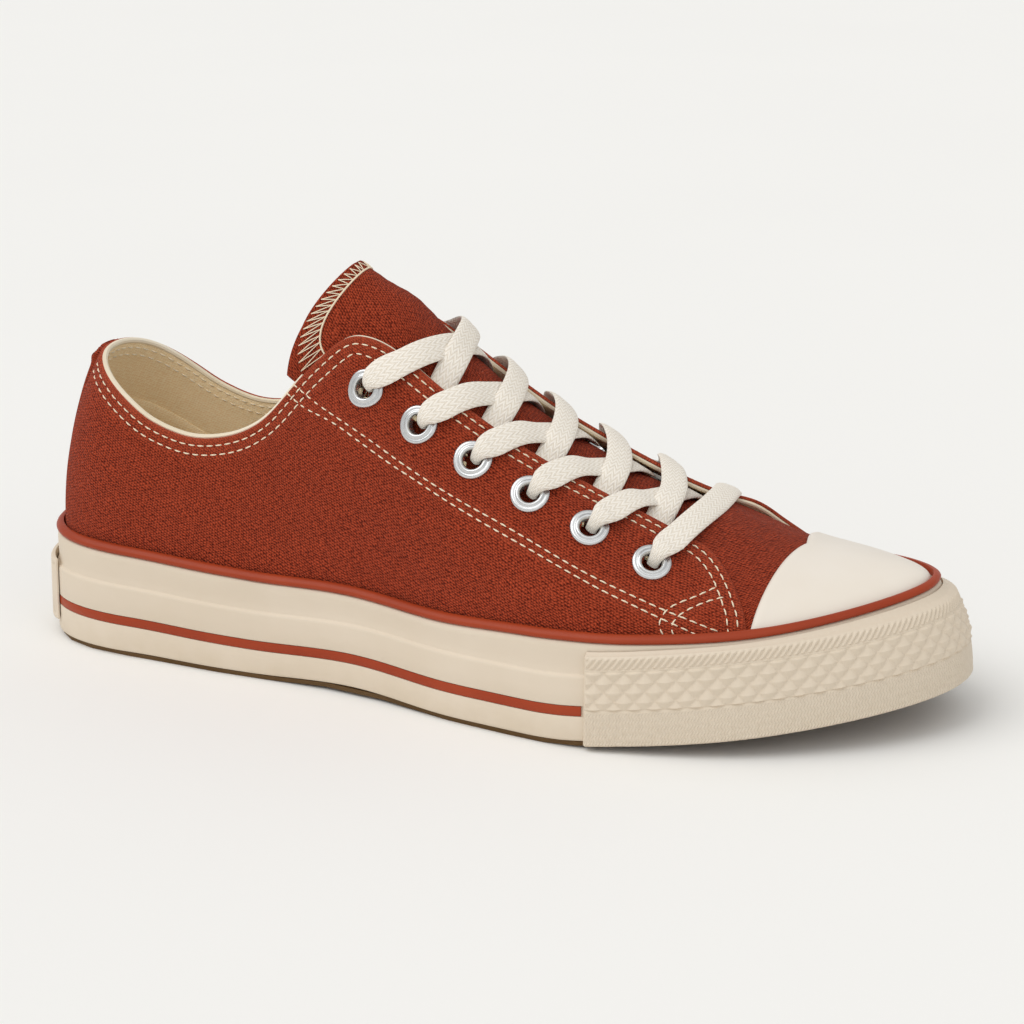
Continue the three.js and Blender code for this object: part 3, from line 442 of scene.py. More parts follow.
def tone(code):
    """Linear colour of a hex code."""
    parts = [int(code[k:k + 2], 16) / 255 for k in (0, 2, 4)]
    return tuple(c / 12.92 if c <= 0.04045 else ((c + 0.055) / 1.055) ** 2.4 for c in parts)


print("rust red in linear light:", [round(c, 3) for c in tone("a23c28")])

# %% [markdown]
# Canvas for shoes is a heavy plain weave. Each thread shows as a small pebble about a millimetre across,
# longer than it is wide, and the pebbles run in slanting rows. Cells of a Voronoi pattern with little
# randomness sit in rows like that. Slow noise makes the rows waver, and the hollows between threads get a
# darker colour than the tops: painted shade.

# %% Woven finishes
CLOTH_WAVER, ROW_TURN = 2.0, 0.5  # mm, radians


def woven(name, light, dark, pitch, depth, wear=None):
    """Cloth with pebbles of a pitch in mm and a bump depth in metres; wear is the colour of rubbed edges."""
    material = new_finish(name, light, 0.9)
    shader = material.node_tree.nodes["Principled BSDF"]
    shader.inputs["Sheen Weight"].default_value = 0.03
    shader.inputs["Sheen Roughness"].default_value = 0.5
    shader.inputs["Specular IOR Level"].default_value = 0.12
    u, v, uv = cloth_place(material, CLOTH_WAVER)
    c, s = math.cos(ROW_TURN) / pitch, math.sin(ROW_TURN) / pitch
    along = plus(material, times(material, u, 0.72 * c), times(material, v, 0.72 * s))
    across = sums(material, "SUBTRACT", times(material, v, 1.2 * c), times(material, u, 1.2 * s))
    shifted = plus(material, along, times(material, sums(material, "FLOOR", across), 0.5))
    rows = node(material, "ShaderNodeCombineXYZ", None, i0=shifted, i1=across, i2=0.0).outputs[0]
    cells = node(material, "ShaderNodeTexVoronoi", {"feature": "SMOOTH_F1"}, Vector=rows, Scale=1.0,
                 Randomness=0.3, Smoothness=0.1).outputs["Distance"]
    pebble = span(material, cells, 0.12, 0.68, 1.0, 0.0)
    height = plus(material, pebble, times(material, noise(material, 1.6, 2.0, uv), 0.15))
    # Painted shade: the dark colour fills the hollows between the pebbles; a slow noise adds random tone.
    painted_shade_and_tone = plus(material, height, times(material, noise(material, 22.0, 3.0), 0.12))
    colour = blend_colour(material, span(material, painted_shade_and_tone, 0.2, 0.95), dark, light)
    if wear is not None:
        worn = node(material, "ShaderNodeAttribute", {"attribute_name": "wear"}).outputs["Fac"]
        patchy = times(material, worn, span(material, noise(material, 120.0), 0.3, 0.7, 0.5, 1.0))
        colour = blend_colour(material, patchy, colour, wear)
    put(material, colour, height, depth)
    return material


canvas = woven("canvas_rust", tone("b84a2c"), tone("541405"), 0.88, 0.0004, wear=tone("b9553a"))
# Painted light: the lining's colours are lighter than the tan cotton, standing in for light inside the shoe.
lining = woven("lining_tan", tone("fff0cf"), tone("f3d8ab"), 0.9, 0.00005)
footbed = woven("footbed_cloth", tone("ecdab8"), tone("cfb68b"), 1.1, 0.0001)
print("woven finishes:", canvas.name, lining.name, footbed.name)

# %% [markdown]
# The laces are flat braids: each column of the braid leans the other way, so the surface reads as long, faint
# V shapes. A folded coordinate across the lace, added to the one along it, gives exactly that.

# %% Braid, thread and metal
def braided(name, light, dark):
    material = new_finish(name, light, 0.85)
    shader = material.node_tree.nodes["Principled BSDF"]
    shader.inputs["Sheen Weight"].default_value = 0.1
    shader.inputs["Specular IOR Level"].default_value = 0.2
    u, v, uv = cloth_place(material, 0.5)
    fold = sums(material, "PINGPONG", v, 1.05)
    phase = plus(material, times(material, u, 2 * math.pi / 2.3), times(material, fold, 6.0))
    strand = sums(material, "MULTIPLY_ADD", sums(material, "SINE", phase), 0.5)
    strand.node.inputs[2].default_value = 0.5
    from_middle = sums(material, "ABSOLUTE", sums(material, "SUBTRACT", fold, 0.52))
    height = times(material, strand, span(material, from_middle, 0.3, 0.52, 1.0, 0.6))
    height = plus(material, height, times(material, noise(material, 2.2, 3.0, uv), 0.9))
    # Painted shade: the braid is coloured darker where its relief is low, with some random tone from noise.
    colour = blend_colour(material, span(material, height, 0.3, 1.1), dark, light)
    put(material, colour, height, 0.00012)
    return material


lace_braid = braided("lace_cotton", tone("f6efe4"), tone("e0d5c4"))

thread = new_finish("thread_cream", tone("f6e6cb"), 0.6)
twist = node(thread, "ShaderNodeTexWave", {"bands_direction": "DIAGONAL"}, Scale=900.0,
             Vector=node(thread, "ShaderNodeTexCoord").outputs["Object"]).outputs["Fac"]
# Painted shade: the thread is coloured darker in the grooves of its twist than on its plies.
put(thread, blend_colour(thread, twist, tone("ead3ab"), tone("fdf2dd")), twist, 0.00005)

metal = new_finish("eyelet_metal", tone("e4e6e8"), 0.24)
metal.node_tree.nodes["Principled BSDF"].inputs["Metallic"].default_value = 0.9
scuff = noise(metal, 900.0, 4.0)
put(metal, blend_colour(metal, scuff, tone("c6c7c8"), tone("e2e3e3")), scuff, 0.00001,
    roughness=span(metal, noise(metal, 400.0, 3.0), 0.3, 0.7, 0.18, 0.34))
print("braid, thread and metal:", lace_braid.name, thread.name, metal.name)

# %% [markdown]
# The rubber parts are moulded and vulcanised, so they are matte with a faint unevenness. The sidewall's
# rubber is darker a little low down, in patches set by a second, slower noise.

# %% Rubber finishes
def moulded(name, light, dark, roughness, grain_depth, bottom_colour=None):
    material = new_finish(name, light, roughness)
    material.node_tree.nodes["Principled BSDF"].inputs["Specular IOR Level"].default_value = 0.25
    slow, fine = noise(material, 30.0, 3.0), noise(material, 1500.0, 3.0)
    colour = blend_colour(material, span(material, slow, 0.3, 0.7), dark, light)
    if bottom_colour is not None:
        # Darker towards the bottom, in patches.
        object_place = node(material, "ShaderNodeTexCoord").outputs["Object"]
        height = node(material, "ShaderNodeSeparateXYZ", Vector=object_place).outputs[2]
        low = span(material, height, 0.0, 0.012, 0.3, 0.0)
        patchy = span(material, noise(material, 160.0, 4.0), 0.35, 0.7)
        colour = blend_colour(material, times(material, low, patchy), colour, bottom_colour)
    matte = span(material, fine, 0.3, 0.7, roughness - 0.06, roughness + 0.08)
    put(material, colour, fine, grain_depth, roughness=matte)
    return material


rubber = moulded("sidewall_rubber", tone("dfd1be"), tone("d9cab5"), 0.55, 0.00001, bottom_colour=tone("cbb99c"))
cap_rubber = moulded("cap_rubber", tone("ece4d9"), tone("e7ddcf"), 0.45, 0.000006)
strip_rubber = moulded("strip_rubber", tone("a4401f"), tone("963618"), 0.42, 0.00001)
gum_rubber = moulded("gum_rubber", tone("6e5334"), tone("59401f"), 0.6, 0.00003)
foam = moulded("filler_foam", tone("e6dcc8"), tone("d6c8ac"), 0.9, 0.0001)
print("rubbers:", ", ".join(m.name for m in (rubber, cap_rubber, strip_rubber, gum_rubber, foam)))

# %% [markdown]
# The toe bumper is moulded with bands: slanted ribs on top, rows of small pyramids, and a fine linen texture
# low down. Ribs and pyramids are true relief in the mesh; the linen is finer than the mesh, so it is a bump,
# with a painted highlight on its ridges.

# %% Bumper finish
bumper_rubber = new_finish("bumper_rubber", tone("e4dac9"), 0.58)
u, v, uv = cloth_place(bumper_rubber, 0.1)
lean_over = sums(bumper_rubber, "PINGPONG", v, 1.1)
phase = plus(bumper_rubber, times(bumper_rubber, u, 2 * math.pi / 0.95), times(bumper_rubber, lean_over, 3.4))
linen_band = span(bumper_rubber, v, 10.6, 11.2, 1.0, 0.0)
linen = times(bumper_rubber, sums(bumper_rubber, "SINE", phase), linen_band)
speck = noise(bumper_rubber, 2.2, 3.0, uv)
patchy = span(bumper_rubber, noise(bumper_rubber, 0.7, 4.0, uv), 0.3, 0.75)
# Darker towards the bottom of the strip, in patches.
bottom_darkening = times(bumper_rubber, span(bumper_rubber, v, 1.0, 12.0, 0.34, 0.1), patchy)
bumper_colour = blend_colour(bumper_rubber, bottom_darkening, tone("dccdb8"), tone("b8a284"))
# Painted highlight: the linen's ridges, and faintly the rest of the strip, are lightened towards a pale
# colour.
glint = span(bumper_rubber, linen, -1.0, 1.0, 0.0, 0.16)
lit = blend_colour(bumper_rubber, glint, bumper_colour, tone("ebe1d2"))
put(bumper_rubber, lit, plus(bumper_rubber, linen, times(bumper_rubber, speck, 0.5)), 0.00007)
print("bumper finish:", bumper_rubber.name)

# %% [markdown]
# The sidewall is one rubber strip wrapped round the shoe. Its section has a softly rounded lower edge, a
# shallow seat for the coloured line and a step near the middle, and it leans in towards its top. Sweeping
# that section round the outline is how the real strip is laid, and a slow waver in the inset keeps it from
# looking machined.

# %% Sidewall
def face_inset(s, z):
    recess = np.interp(s, *zip(*RECESS))
    lean = np.maximum(curve(SIDE, 2, s) - recess, 0)
    return recess + lean * (np.maximum(z, 0) / curve(SIDE, 1, s)) ** 1.3


def on_sole(angle, side, inset, z):
    """Points over the outline at a height above the sole's bottom."""
    place = outline(angle, side, inset)
    return np.concatenate([place, (bottom_z(place[..., 0]) + z)[..., None]], -1)


def smooth(value, low, high):
    t = np.clip((value - low) / (high - low), 0, 1)
    return t * t * (3 - 2 * t)


def swept(name, angle, side, pairs, ring=True, **looks):
    """Piece from pairs of inset and height, each a number or one number per station."""
    return tube(name, np.stack([on_sole(angle, side, a, z) for a, z in pairs], 1), ring, **looks)


def wall(angle, side, rows, rise=0.0):
    """Pairs of inset and height on the face, from rows of height and extra inset; the rise is at the heel."""
    s = share_of(angle)
    waver = 0.10 * np.sin(angle * 23 + side) + 0.06 * np.sin(angle * 61 + 2 * side)
    return [(face_inset(s, z) + waver + extra, z + rise * (1 - smooth(s, 0.0, 0.4))) for z, extra in rows]


SOLE_STEP, LINE_RISE, LEDGE_RISE = 1.6, 1.6, 2.6
LOWER = [(1.8, 0.5), (2.0, 0.15), (2.6, 0), (5.5, 0)]
SEAT = [(9.0, 0), (9.25, 0.1), (9.3, 0.6), (12.5, 0.6), (12.55, 0.1), (12.8, 0)]
LEDGE = [(17.0, 0), (20.4, 0), (20.9, 0.05), (21.25, 0.2), (21.5, 0.5), (21.7, 0.9), (22.0, 1.0), (24.5, 0.9),
         (27.0, 0.75)]
angle, side = both_sides(even_angles(0, 1, -1, SOLE_STEP), even_angles(0, 1, 1, SOLE_STEP)[::-1][1:-1])
s = share_of(angle)
top, lean = curve(SIDE, 1, s), curve(SIDE, 2, s)
profile = [(lean + SIDEWALL, 1.8)]
upper = [(top - 2.0, 0.55), (top - 0.9, 0.6)]
for rows, rise in ((LOWER, 0.0), (SEAT, LINE_RISE), (LEDGE, LEDGE_RISE), (upper, 0.0)):
    profile += wall(angle, side, rows, rise)
profile += [(lean + 0.75, top - 0.3), (lean + 1.2, top), (lean + SIDEWALL, top)]
sidewall = swept("sidewall_strip", angle, side, profile, sharp=50, finish=rubber, slot="rubber")
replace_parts(sidewall, "foxing")
print("sidewall:", len(angle), "sections of", len(profile), "points")

# %% [markdown]
# The coloured line is a thin strip pressed into its seat. It runs from the bumper's end round the heel. The
# piping is a rolled strip glued over the joint of sidewall and upper. Both are swept like the sidewall.

# %% Coloured line and piping
def round_heel(to, step):
    """Angles and sides from a share of the length on the outer side, round the heel, to the inner side."""
    return both_sides(even_angles(0, to, -1, step)[1:][::-1], even_angles(0, to, 1, step))


LINE_END = 0.671
line_angle, line_side = round_heel(LINE_END, SOLE_STEP)
section = [(9.5, 0.55), (9.45, 0.12), (9.8, 0.0), (10.9, -0.04), (12.0, 0.0), (12.35, 0.12), (12.3, 0.55)]
pairs = wall(line_angle, line_side, section, LINE_RISE)
line = swept("coloured_line", line_angle, line_side, pairs, ring=False, finish=strip_rubber, slot="strip")
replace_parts(line, "stripe")

PIPING = [(0, 2.8, 0.35), (0.78, 2.52, 0.35), (0.86, 2.4, 0.85), (1, 2.24, 0.85)]
PIPING_SECTION = [(0.0, 0.0), (2.3, 0.0), (2.75, 0.1), (3.0, 0.26), (3.02, 0.42), (2.8, 0.6), (2.35, 0.78),
                  (1.8, 0.92), (1.2, 1.0), (0.6, 0.98)]
height, gap = (np.interp(s, [r[0] for r in PIPING], [r[k] for r in PIPING]) for k in (1, 2))
roll = []
for out, up in PIPING_SECTION:
    reach = np.maximum(out, gap) if out < 1 else out
    roll.append((lean + SIDEWALL + CLEAR - reach, top + 0.15 + up * height))
piping = swept("piping_roll", angle, side, roll, finish=strip_rubber, slot="strip")
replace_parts(piping, "piping")
print("piping: height at the heel", height[0], "mm, at the toe", round(float(height.min()), 1), "mm")

# %% [markdown]
# The bumper's bands are relief on one strip round the toe: 27 mm high with ribs 2 mm apart and pyramids 6 mm
# wide. Displacing a fine grid by a formula gives each pyramid an upper and a lower facet, rounded at the
# sides.

# %% Toe bumper
BUMPER_START, BUMPER_STEP, BUMPER_LOW, BUMPER_HIGH, BUMPER_PROUD = 0.675, 0.42, 0.7, 27.8, 1.6
RIB_PITCH, PYRAMID_WIDE, PYRAMID_TALL = 2.05, 5.95, 5.7


def bumper_relief(u, z):
    """How far the face stands out, in mm, at a place along the strip and a height."""
    rib = 0.5 + 0.5 * np.cos(2 * math.pi * (u - 0.85 * z) / RIB_PITCH)
    ribs = 0.5 * rib * smooth(z, 23.9, 24.3) * (1 - smooth(z, 27.2, 27.6))
    a, b = ((u / PYRAMID_WIDE + turn * z / PYRAMID_TALL) % 1 - 0.5 for turn in (1, -1))
    pyramids = 1.15 * (1.1 - np.abs(a - b) - (a + b) ** 2)
    pyramids = pyramids * smooth(z, 11.8, 12.1) * (1 - smooth(z, 23.2, 23.5))
    lines = 0.2 * np.exp(-(((z - 23.7) / 0.2) ** 2)) - 0.25 * np.exp(-(((z - 11.65) / 0.25) ** 2))
    return ribs + pyramids + lines - 0.4 * smooth(z, 11.7, 12.0) * (1 - smooth(z, 23.2, 23.5))


toe_angle, toe_side = both_sides(even_angles(BUMPER_START, 1, -1, BUMPER_STEP),
                                 even_angles(BUMPER_START, 1, 1, BUMPER_STEP)[::-1][1:])
s = share_of(toe_angle)
along = run_of(outline(toe_angle, toe_side, 0.0))
linen_heights, relief_heights = np.linspace(2.0, 10.8, 8), np.linspace(11.1, BUMPER_HIGH, 50)
heights = np.concatenate([[BUMPER_LOW, 0.9, 1.2], linen_heights, relief_heights])
low_top, shoulder = 1 - 0.05 * smooth(s, 0.72, 0.95), smooth(s, 0.8, 1.0)
ends = 0.6 * np.exp(-(np.minimum(along, along[-1] - along) / 0.35) ** 2)
front = []
for z in heights:
    soften = 0.5 * max(0.0, 1 - (z - BUMPER_LOW) / 0.5) + 0.25 * max(0.0, 1 - (BUMPER_HIGH - z) / 0.4)
    belly = shoulder * (1.0 + 1.2 * np.sin(math.pi * np.clip((z - 2) / 30, 0, 1)))
    inset = face_inset(s, z) - BUMPER_PROUD - belly - bumper_relief(along, z) * (ends < 0.1) + soften + ends
    front.append((inset, z * low_top))
for part, up in ((0.8, 0.25), (0.5, 0.7), (0.22, 1.4), (-0.1, 2.4)):
    inset = face_inset(s, BUMPER_HIGH) - part * (1.3 + 1.6 * shoulder) + ends
    front.append((inset, BUMPER_HIGH * low_top + up * (0.4 + 0.6 * shoulder)))
back = [(face_inset(s, z) + 0.5, z * low_top) for z in (BUMPER_HIGH, 20.0, 12.0, BUMPER_LOW)]
loops = np.stack([on_sole(toe_angle, toe_side, a, z) for a, z in front + back], 1)
levels = np.stack([z for _, z in front + back], 1)
cloth = np.stack(np.broadcast_arrays(along[:, None], levels), -1).reshape(-1, 2)
bumper = tube("toe_bumper", loops, cloth=cloth, sharp=14, finish=bumper_rubber, slot="rubber")
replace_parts(bumper, "bumper")
print("bumper:", round(along[-1]), "mm long,", levels.size, "points")

# %% [markdown]
# A plain rubber patch closes the strip at the heel. It stays bare here. The outsole under it all is gum
# rubber with a chevron tread; its solid already has that tread, so it only gets its finish, as does the
# hidden filler.

# %% Heel patch, outsole and filler
PATCH_REACH, PATCH_LOW, PATCH_HIGH = 0.03, 5.8, 26.3
patch_angle, patch_side = round_heel(PATCH_REACH, 0.8)
s = share_of(patch_angle)
side_soft = 0.9 * smooth(np.abs(np.linspace(-1, 1, len(s))), 0.93, 1.0)
section = [(0, 0.7), (0.2, 0.25), (0.7, 0.0), (1.6, 0.0), (1.9, 0.3), (2.2, 0.0), (10.0, 0.0), (18.3, 0.0),
           (18.6, 0.3), (18.9, 0.0), (19.8, 0.0), (20.3, 0.25), (20.5, 0.7)]
pairs = [(face_inset(s, PATCH_LOW) - 0.4, PATCH_LOW)]
for up, soft in section:
    pairs.append((face_inset(s, PATCH_LOW + up) - 1.8 + np.maximum(soft, side_soft), PATCH_LOW + up))
pairs.append((face_inset(s, PATCH_HIGH) - 0.4, PATCH_HIGH))
patch = swept("heel_patch_rubber", patch_angle, patch_side, pairs, ring=False, sharp=50, finish=rubber,
              slot="rubber")
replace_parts(patch, "heel_patch")

for name, finish in (("outsole", gum_rubber), ("midsole", foam)):
    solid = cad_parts[name]
    solid.data.materials.clear()
    solid.data.materials.append(finish)
print("heel patch made; solids with a finish of their own: outsole, midsole")

# %% [markdown]
# Seams come before the cloth, because the cloth dips along them. A seam is a path on the last. The double
# rows keep a set distance from the free edge, so they are found by sliding the edge inward over the surface.

# %% Paths of the seams
def dot(a, b):
    return (a * b).sum(-1)


def slide(angle, v, side, move):
    """The angle and share reached by moving over the last by a vector in mm."""
    a0, a1 = np.maximum(angle - 1e-3, 0), np.minimum(angle + 1e-3, 1)
    per_angle = (last_point(a1, v, side) - last_point(a0, v, side)) / (a1 - a0)[..., None]
    v0, v1 = np.clip(v - 1e-3, 0, 1), np.clip(v + 1e-3, 0, 1)
    per_share = (last_point(angle, v1, side) - last_point(angle, v0, side)) / (v1 - v0)[..., None]
    aa, bb, ab = dot(per_angle, per_angle), dot(per_share, per_share), dot(per_angle, per_share)
    am, bm = dot(per_angle, move), dot(per_share, move)
    det = aa * bb - ab * ab
    return angle + (am * bb - bm * ab) / det, v + (bm * aa - am * ab) / det


def rough_run(rows):
    """Rough length in mm along rows of share of the length and share of the arch."""
    steps = np.hypot(np.diff(rows[:, 0]) * LENGTH, np.diff(rows[:, 1]) * ARCH_GIRTH)
    return np.concatenate([[0], np.cumsum(steps)])


def through(rows, count=500):
    """Smooth path of angle and share through points given as share of the length and share of the arch."""
    rows = np.array(rows, float)
    run = rough_run(rows)
    table = np.column_stack([run, rows])
    t = np.linspace(0, run[-1], count)
    return angle_of(np.clip(curve(table, 1, t), 0, 1)), curve(table, 2, t)


def edge_path(side, start, end, inset, count=900, tilt=0.0):
    """Path some mm inside the quarters' free edge; a tilt moves it in on one side and out on the other."""
    rows = np.array(QUARTER_EDGE)
    run = rough_run(rows)
    first, last = np.interp((start, end), rows[:, 0], run)
    s = np.interp(np.linspace(first, last, count), run, rows[:, 0])
    angle, v = angle_of(s), edge_share(s)
    path, normal = surface(angle, v, side)
    inside = side * np.cross(normal, unit(np.gradient(path, axis=0)))
    inset = inset + tilt * side * smooth(s, 0.0, 0.1)
    return slide(angle, v, side, inside * inset[:, None])


EYESTAY_ROWS = [
    [(0.300, 0.518), (0.363, 0.454), (0.444, 0.440), (0.518, 0.436), (0.567, 0.434), (0.608, 0.420),
     (0.642, 0.399), (0.719, 0.325), (0.746, 0.281), (0.777, 0.221), (0.808, 0.135)],
    [(0.291, 0.505), (0.335, 0.457), (0.386, 0.429), (0.482, 0.417), (0.555, 0.405), (0.610, 0.387),
     (0.663, 0.347), (0.722, 0.273), (0.764, 0.178), (0.790, 0.090)],
]
BAR_ROWS = [
    [(0.750, 0.094), (0.743, 0.200), (0.747, 0.281), (0.774, 0.405), (0.791, 0.487)],
    [(0.760, 0.091), (0.755, 0.190), (0.759, 0.251), (0.780, 0.360), (0.800, 0.424)],
]


def seam_rows(side):
    rows = [edge_path(side, 0.012, 0.8305, inset) for inset in (2.3, 5.2)]
    return rows + [through(r) for r in EYESTAY_ROWS + BAR_ROWS]


seams = {side: seam_rows(side) for side in (-1, 1)}
halved = [last_point(a[::2], v[::2], side) for side in (-1, 1) for a, v in seams[side]]
seam_points = np.concatenate(halved)
print("seam rows on each side:", len(seams[1]), "-", len(seam_points), "points to dip along")

# %% [markdown]
# The quarters are one sheet of canvas round the heel, from one throat edge to the other. Cloth simulation
# would only soften a sheet that is glued to a lining and stretched on a last, so the shape comes from the
# last itself: soft dips along the seams, a few listed creases, and the front of each throat edge standing
# off the vamp.

# %% Canvas quarters
CREASES = [  # side, path of share along and share of arch, width and depth in mm
    (-1, [(0.600, 0.02), (0.640, 0.13), (0.665, 0.26)], 5.0, 0.5),
    (-1, [(0.690, 0.02), (0.705, 0.12), (0.715, 0.22)], 4.0, 0.45),
    (-1, [(0.200, 0.10), (0.260, 0.17), (0.330, 0.20)], 8.0, 0.5),
    (-1, [(0.430, 0.06), (0.500, 0.14), (0.560, 0.17)], 8.0, 0.45),
    (1, [(0.600, 0.02), (0.645, 0.15), (0.670, 0.28)], 5.0, 0.5),
    (1, [(0.400, 0.08), (0.480, 0.17), (0.560, 0.19)], 8.0, 0.5),
    (1, [(0.150, 0.08), (0.240, 0.15), (0.310, 0.17)], 8.0, 0.5),
]


def nearest(points, targets):
    """Distance in mm from each point to the nearest target."""
    flat, chunk = points.reshape(-1, 3), 4000
    found = []
    for k in range(0, len(flat), chunk):
        found.append(np.sqrt(((flat[k:k + chunk, None] - targets[None]) ** 2).sum(-1).min(1)))
    return np.concatenate(found).reshape(points.shape[:-1])


def seam_dip(points):
    return -0.32 * np.exp(-((nearest(points, seam_points) / 0.9) ** 2))


def fold_dip(points, folds, fade_from):
    """Dip in mm along folds given as side, path, width and depth, each fading towards its ends."""
    dip = np.zeros(points.shape[:-1])
    flat = points.reshape(-1, 3)
    fade = np.sin(np.linspace(fade_from, math.pi - fade_from, 40))
    for on, rows, width, depth in folds:
        a, v = through(rows, 40)
        gap = np.sqrt(((flat[:, None] - last_point(a, v, on)[None]) ** 2).sum(-1))
        dip -= (depth * fade[gap.argmin(1)] * np.exp(-((gap.min(1) / width) ** 2))).reshape(dip.shape)
    return dip


def throat_lift(s, edge_gap, side):
    """The front of the throat edge stands off the vamp, more on the inner side of the foot."""
    high = np.where(side > 0, 2.3, 0.5) * np.exp(-(((s - 0.768) / 0.028) ** 2))
    return high * np.exp(-edge_gap / 6.0)


def heel_grid(to, step, shares):
    """Angles and sides of columns round the heel, one for each share."""
    angle, side = both_sides(even_angles(0, to, -1, step)[::-1], even_angles(0, to, 1, step)[1:])
    return angle[:, None] + 0 * shares[None], side[:, None] + 0 * shares[None]


def quarter_grid(step, shares):
    """Points and normals over the quarters, their distance from the free edge and the lift at the throat."""
    angle, side = heel_grid(CAP_START, step, shares)
    s = share_of(angle)
    v = np.where(shares[None] > 0, shares[None] * edge_share(s), shares[None])
    base, normal = surface(angle, v, side)
    edge_gap = np.linalg.norm(base - base[:, -1:, :], axis=-1)
    return base, normal, edge_gap, throat_lift(s, edge_gap, side)


places = np.array(EYELETS)
eyes = np.concatenate([last_point(angle_of(places[:, 0]), places[:, 1], side) for side in (-1, 1)])


def eyelet_holes(base, size):
    """The faces of a grid whose middle is nearer to an eyelet than the size."""
    return nearest((base[:-1, :-1] + base[1:, 1:]) / 2, eyes) < size


rows = np.concatenate([[-0.3], np.linspace(0, 0.975, 64), [0.985, 0.994, 1.0]])
base, normal, edge_gap, lift = quarter_grid(1.5, rows)
relief = seam_dip(base) + fold_dip(base, CREASES, 0.35) + lift
roll = -0.45 * (1 - smooth(edge_gap, 0.0, 0.7))
holes = eyelet_holes(base, 3.3)
quarters = layer("canvas_quarters", base, normal, relief + roll, relief - 1.25 - roll * 0.4, holes, sharp=60,
                 finish=canvas, slot="canvas")
wear = np.exp(-edge_gap / 0.8) * 0.8 + 0.25 * np.exp(-((nearest(base, seam_points) - 1.1) / 0.5) ** 2)
wear = np.clip(wear, 0, 1).astype(np.float32).ravel()
attribute = quarters.data.attributes.new("wear", "FLOAT", "POINT")
attribute.data.foreach_set("value", np.concatenate([wear, wear]))
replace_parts(quarters, "upper")
print("canvas grid:", edge_gap.shape, "- faces left out at the eyelets:", int(holes.sum()))

# %% [markdown]
# Inside, a tan cotton lining covers the canvas. Its edge is rolled over into a pale lip round the collar, and
# a stiffening patch is sewn inside the heel. These are separate sheets a little further in.

# %% Lining, collar lip and heel patch inside
rows = np.concatenate([[-0.9, -0.4], np.linspace(0, 0.97, 34), [0.985, 1.0]])
base, normal, edge_gap, lift = quarter_grid(2.5, rows)
puff = 0.25 * smooth(edge_gap, 0.5, 2.0) * (1 - smooth(edge_gap, 6.0, 9.0))
inside = layer("cotton_lining", base, normal, lift - 1.28, lift - 2.35 - puff, eyelet_holes(base, 3.6),
               sharp=60, finish=lining, slot="lining")
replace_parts(inside, "upper")


def round_bar(path, radius, up, sides=8):
    """Sections of a bar along a path; up gives the direction of its height at each point."""
    ahead = unit(np.gradient(path, axis=0))
    aside = unit(np.cross(ahead, up))
    over = np.cross(aside, ahead)
    turn = np.linspace(0, 2 * math.pi, sides, endpoint=False)
    radius = np.broadcast_to(radius, len(path))[:, None, None]
    ring = aside[:, None] * np.cos(turn)[None, :, None] + over[:, None] * np.sin(turn)[None, :, None]
    return path[:, None] + ring * radius


LIP_STEP = 1.5


def edge_all(start, end, inset, tilt, off):
    """Path along the collar, from the outer side round the heel to the inner, with its normals."""
    halves = []
    for side in (-1, 1):
        a, v = edge_path(side, start, end, inset, tilt=tilt)
        path = skin(a, v, side, off)
        run = run_of(path)
        t = np.linspace(0, run[-1], int(run[-1] / LIP_STEP))
        columns = np.concatenate([path, last_normal(a, v, side)], 1).T
        halves.append(np.stack([np.interp(t, run, c) for c in columns], -1)[::side])
    whole = np.concatenate([halves[0], halves[1][1:]])
    return whole[:, :3], whole[:, 3:]


path, up = edge_all(0.0, 0.315, 0.15, 0.55, -1.8)
lip_size = 0.95 * np.sin(np.clip(np.linspace(0, math.pi, len(path)), 0.25, math.pi - 0.25)) ** 0.15
lip_finish = moulded("lip_binding", tone("efe4cf"), tone("dfd0b4"), 0.8, 0.00005)
tube("collar_lip", round_bar(path, lip_size, up), finish=lip_finish, slot="lining")
for side, word in SIDES:
    a, v = edge_path(side, 0.3, 0.815, 0.25, 300)
    off = throat_lift(share_of(a), 0.25, side) - 1.8
    bar = round_bar(skin(a, v, side, off), 0.62, last_normal(a, v, side), 6)
    tube(f"throat_lip_{word}", bar, finish=lip_finish, slot="lining")

COUNTER_END = 0.22


def counter_top(s):
    """Share of the arch at the top of the heel counter, which falls away towards its front."""
    reach = s / COUNTER_END
    return edge_share(s) - 0.105 - 0.03 * reach - 0.16 * reach**6


shares = np.linspace(0, 1, 22)
angle, side = heel_grid(COUNTER_END, 2.0, shares)
base, normal = surface(angle, shares[None] * counter_top(share_of(angle)), side)
thin = 0.55 * smooth(1 - shares, 0.0, 0.05)[None]
layer("heel_counter", base, normal, -2.3, -2.62 - thin, sharp=60, finish=lining, slot="lining")
print("lining, collar lip and heel counter made; lip", round(len(path) * LIP_STEP), "mm long")

# %% [markdown]
# The vamp is a second sheet over the toes, tucked under the quarters and the toe cap. The cap is a smooth
# rubber shell glued on top, thin at its rear edge. Both run over the whole arch, from one side to the other.

# %% Vamp and toe cap
def arch_grid(half, shares):
    """Grid over the whole arch from angles for the outer half: up the outer side and down the inner."""
    angle = np.concatenate([half, half[:, ::-1][:, 1:]], 1)
    v, side = both_sides(shares, shares[::-1][1:])
    return angle, v[None] + 0 * angle, side[None] + 0 * angle


VAMP_FOLDS = [  # side, path, width and depth in mm: soft ridges and troughs where the toes bend
    (1, [(0.752, 0.70), (0.775, 0.80), (0.800, 0.86)], 4.0, 0.8),
    (-1, [(0.800, 0.66), (0.818, 0.48), (0.826, 0.30)], 2.6, 0.45),
    (-1, [(0.770, 0.92), (0.795, 0.84), (0.815, 0.76)], 5.0, -0.5),
]


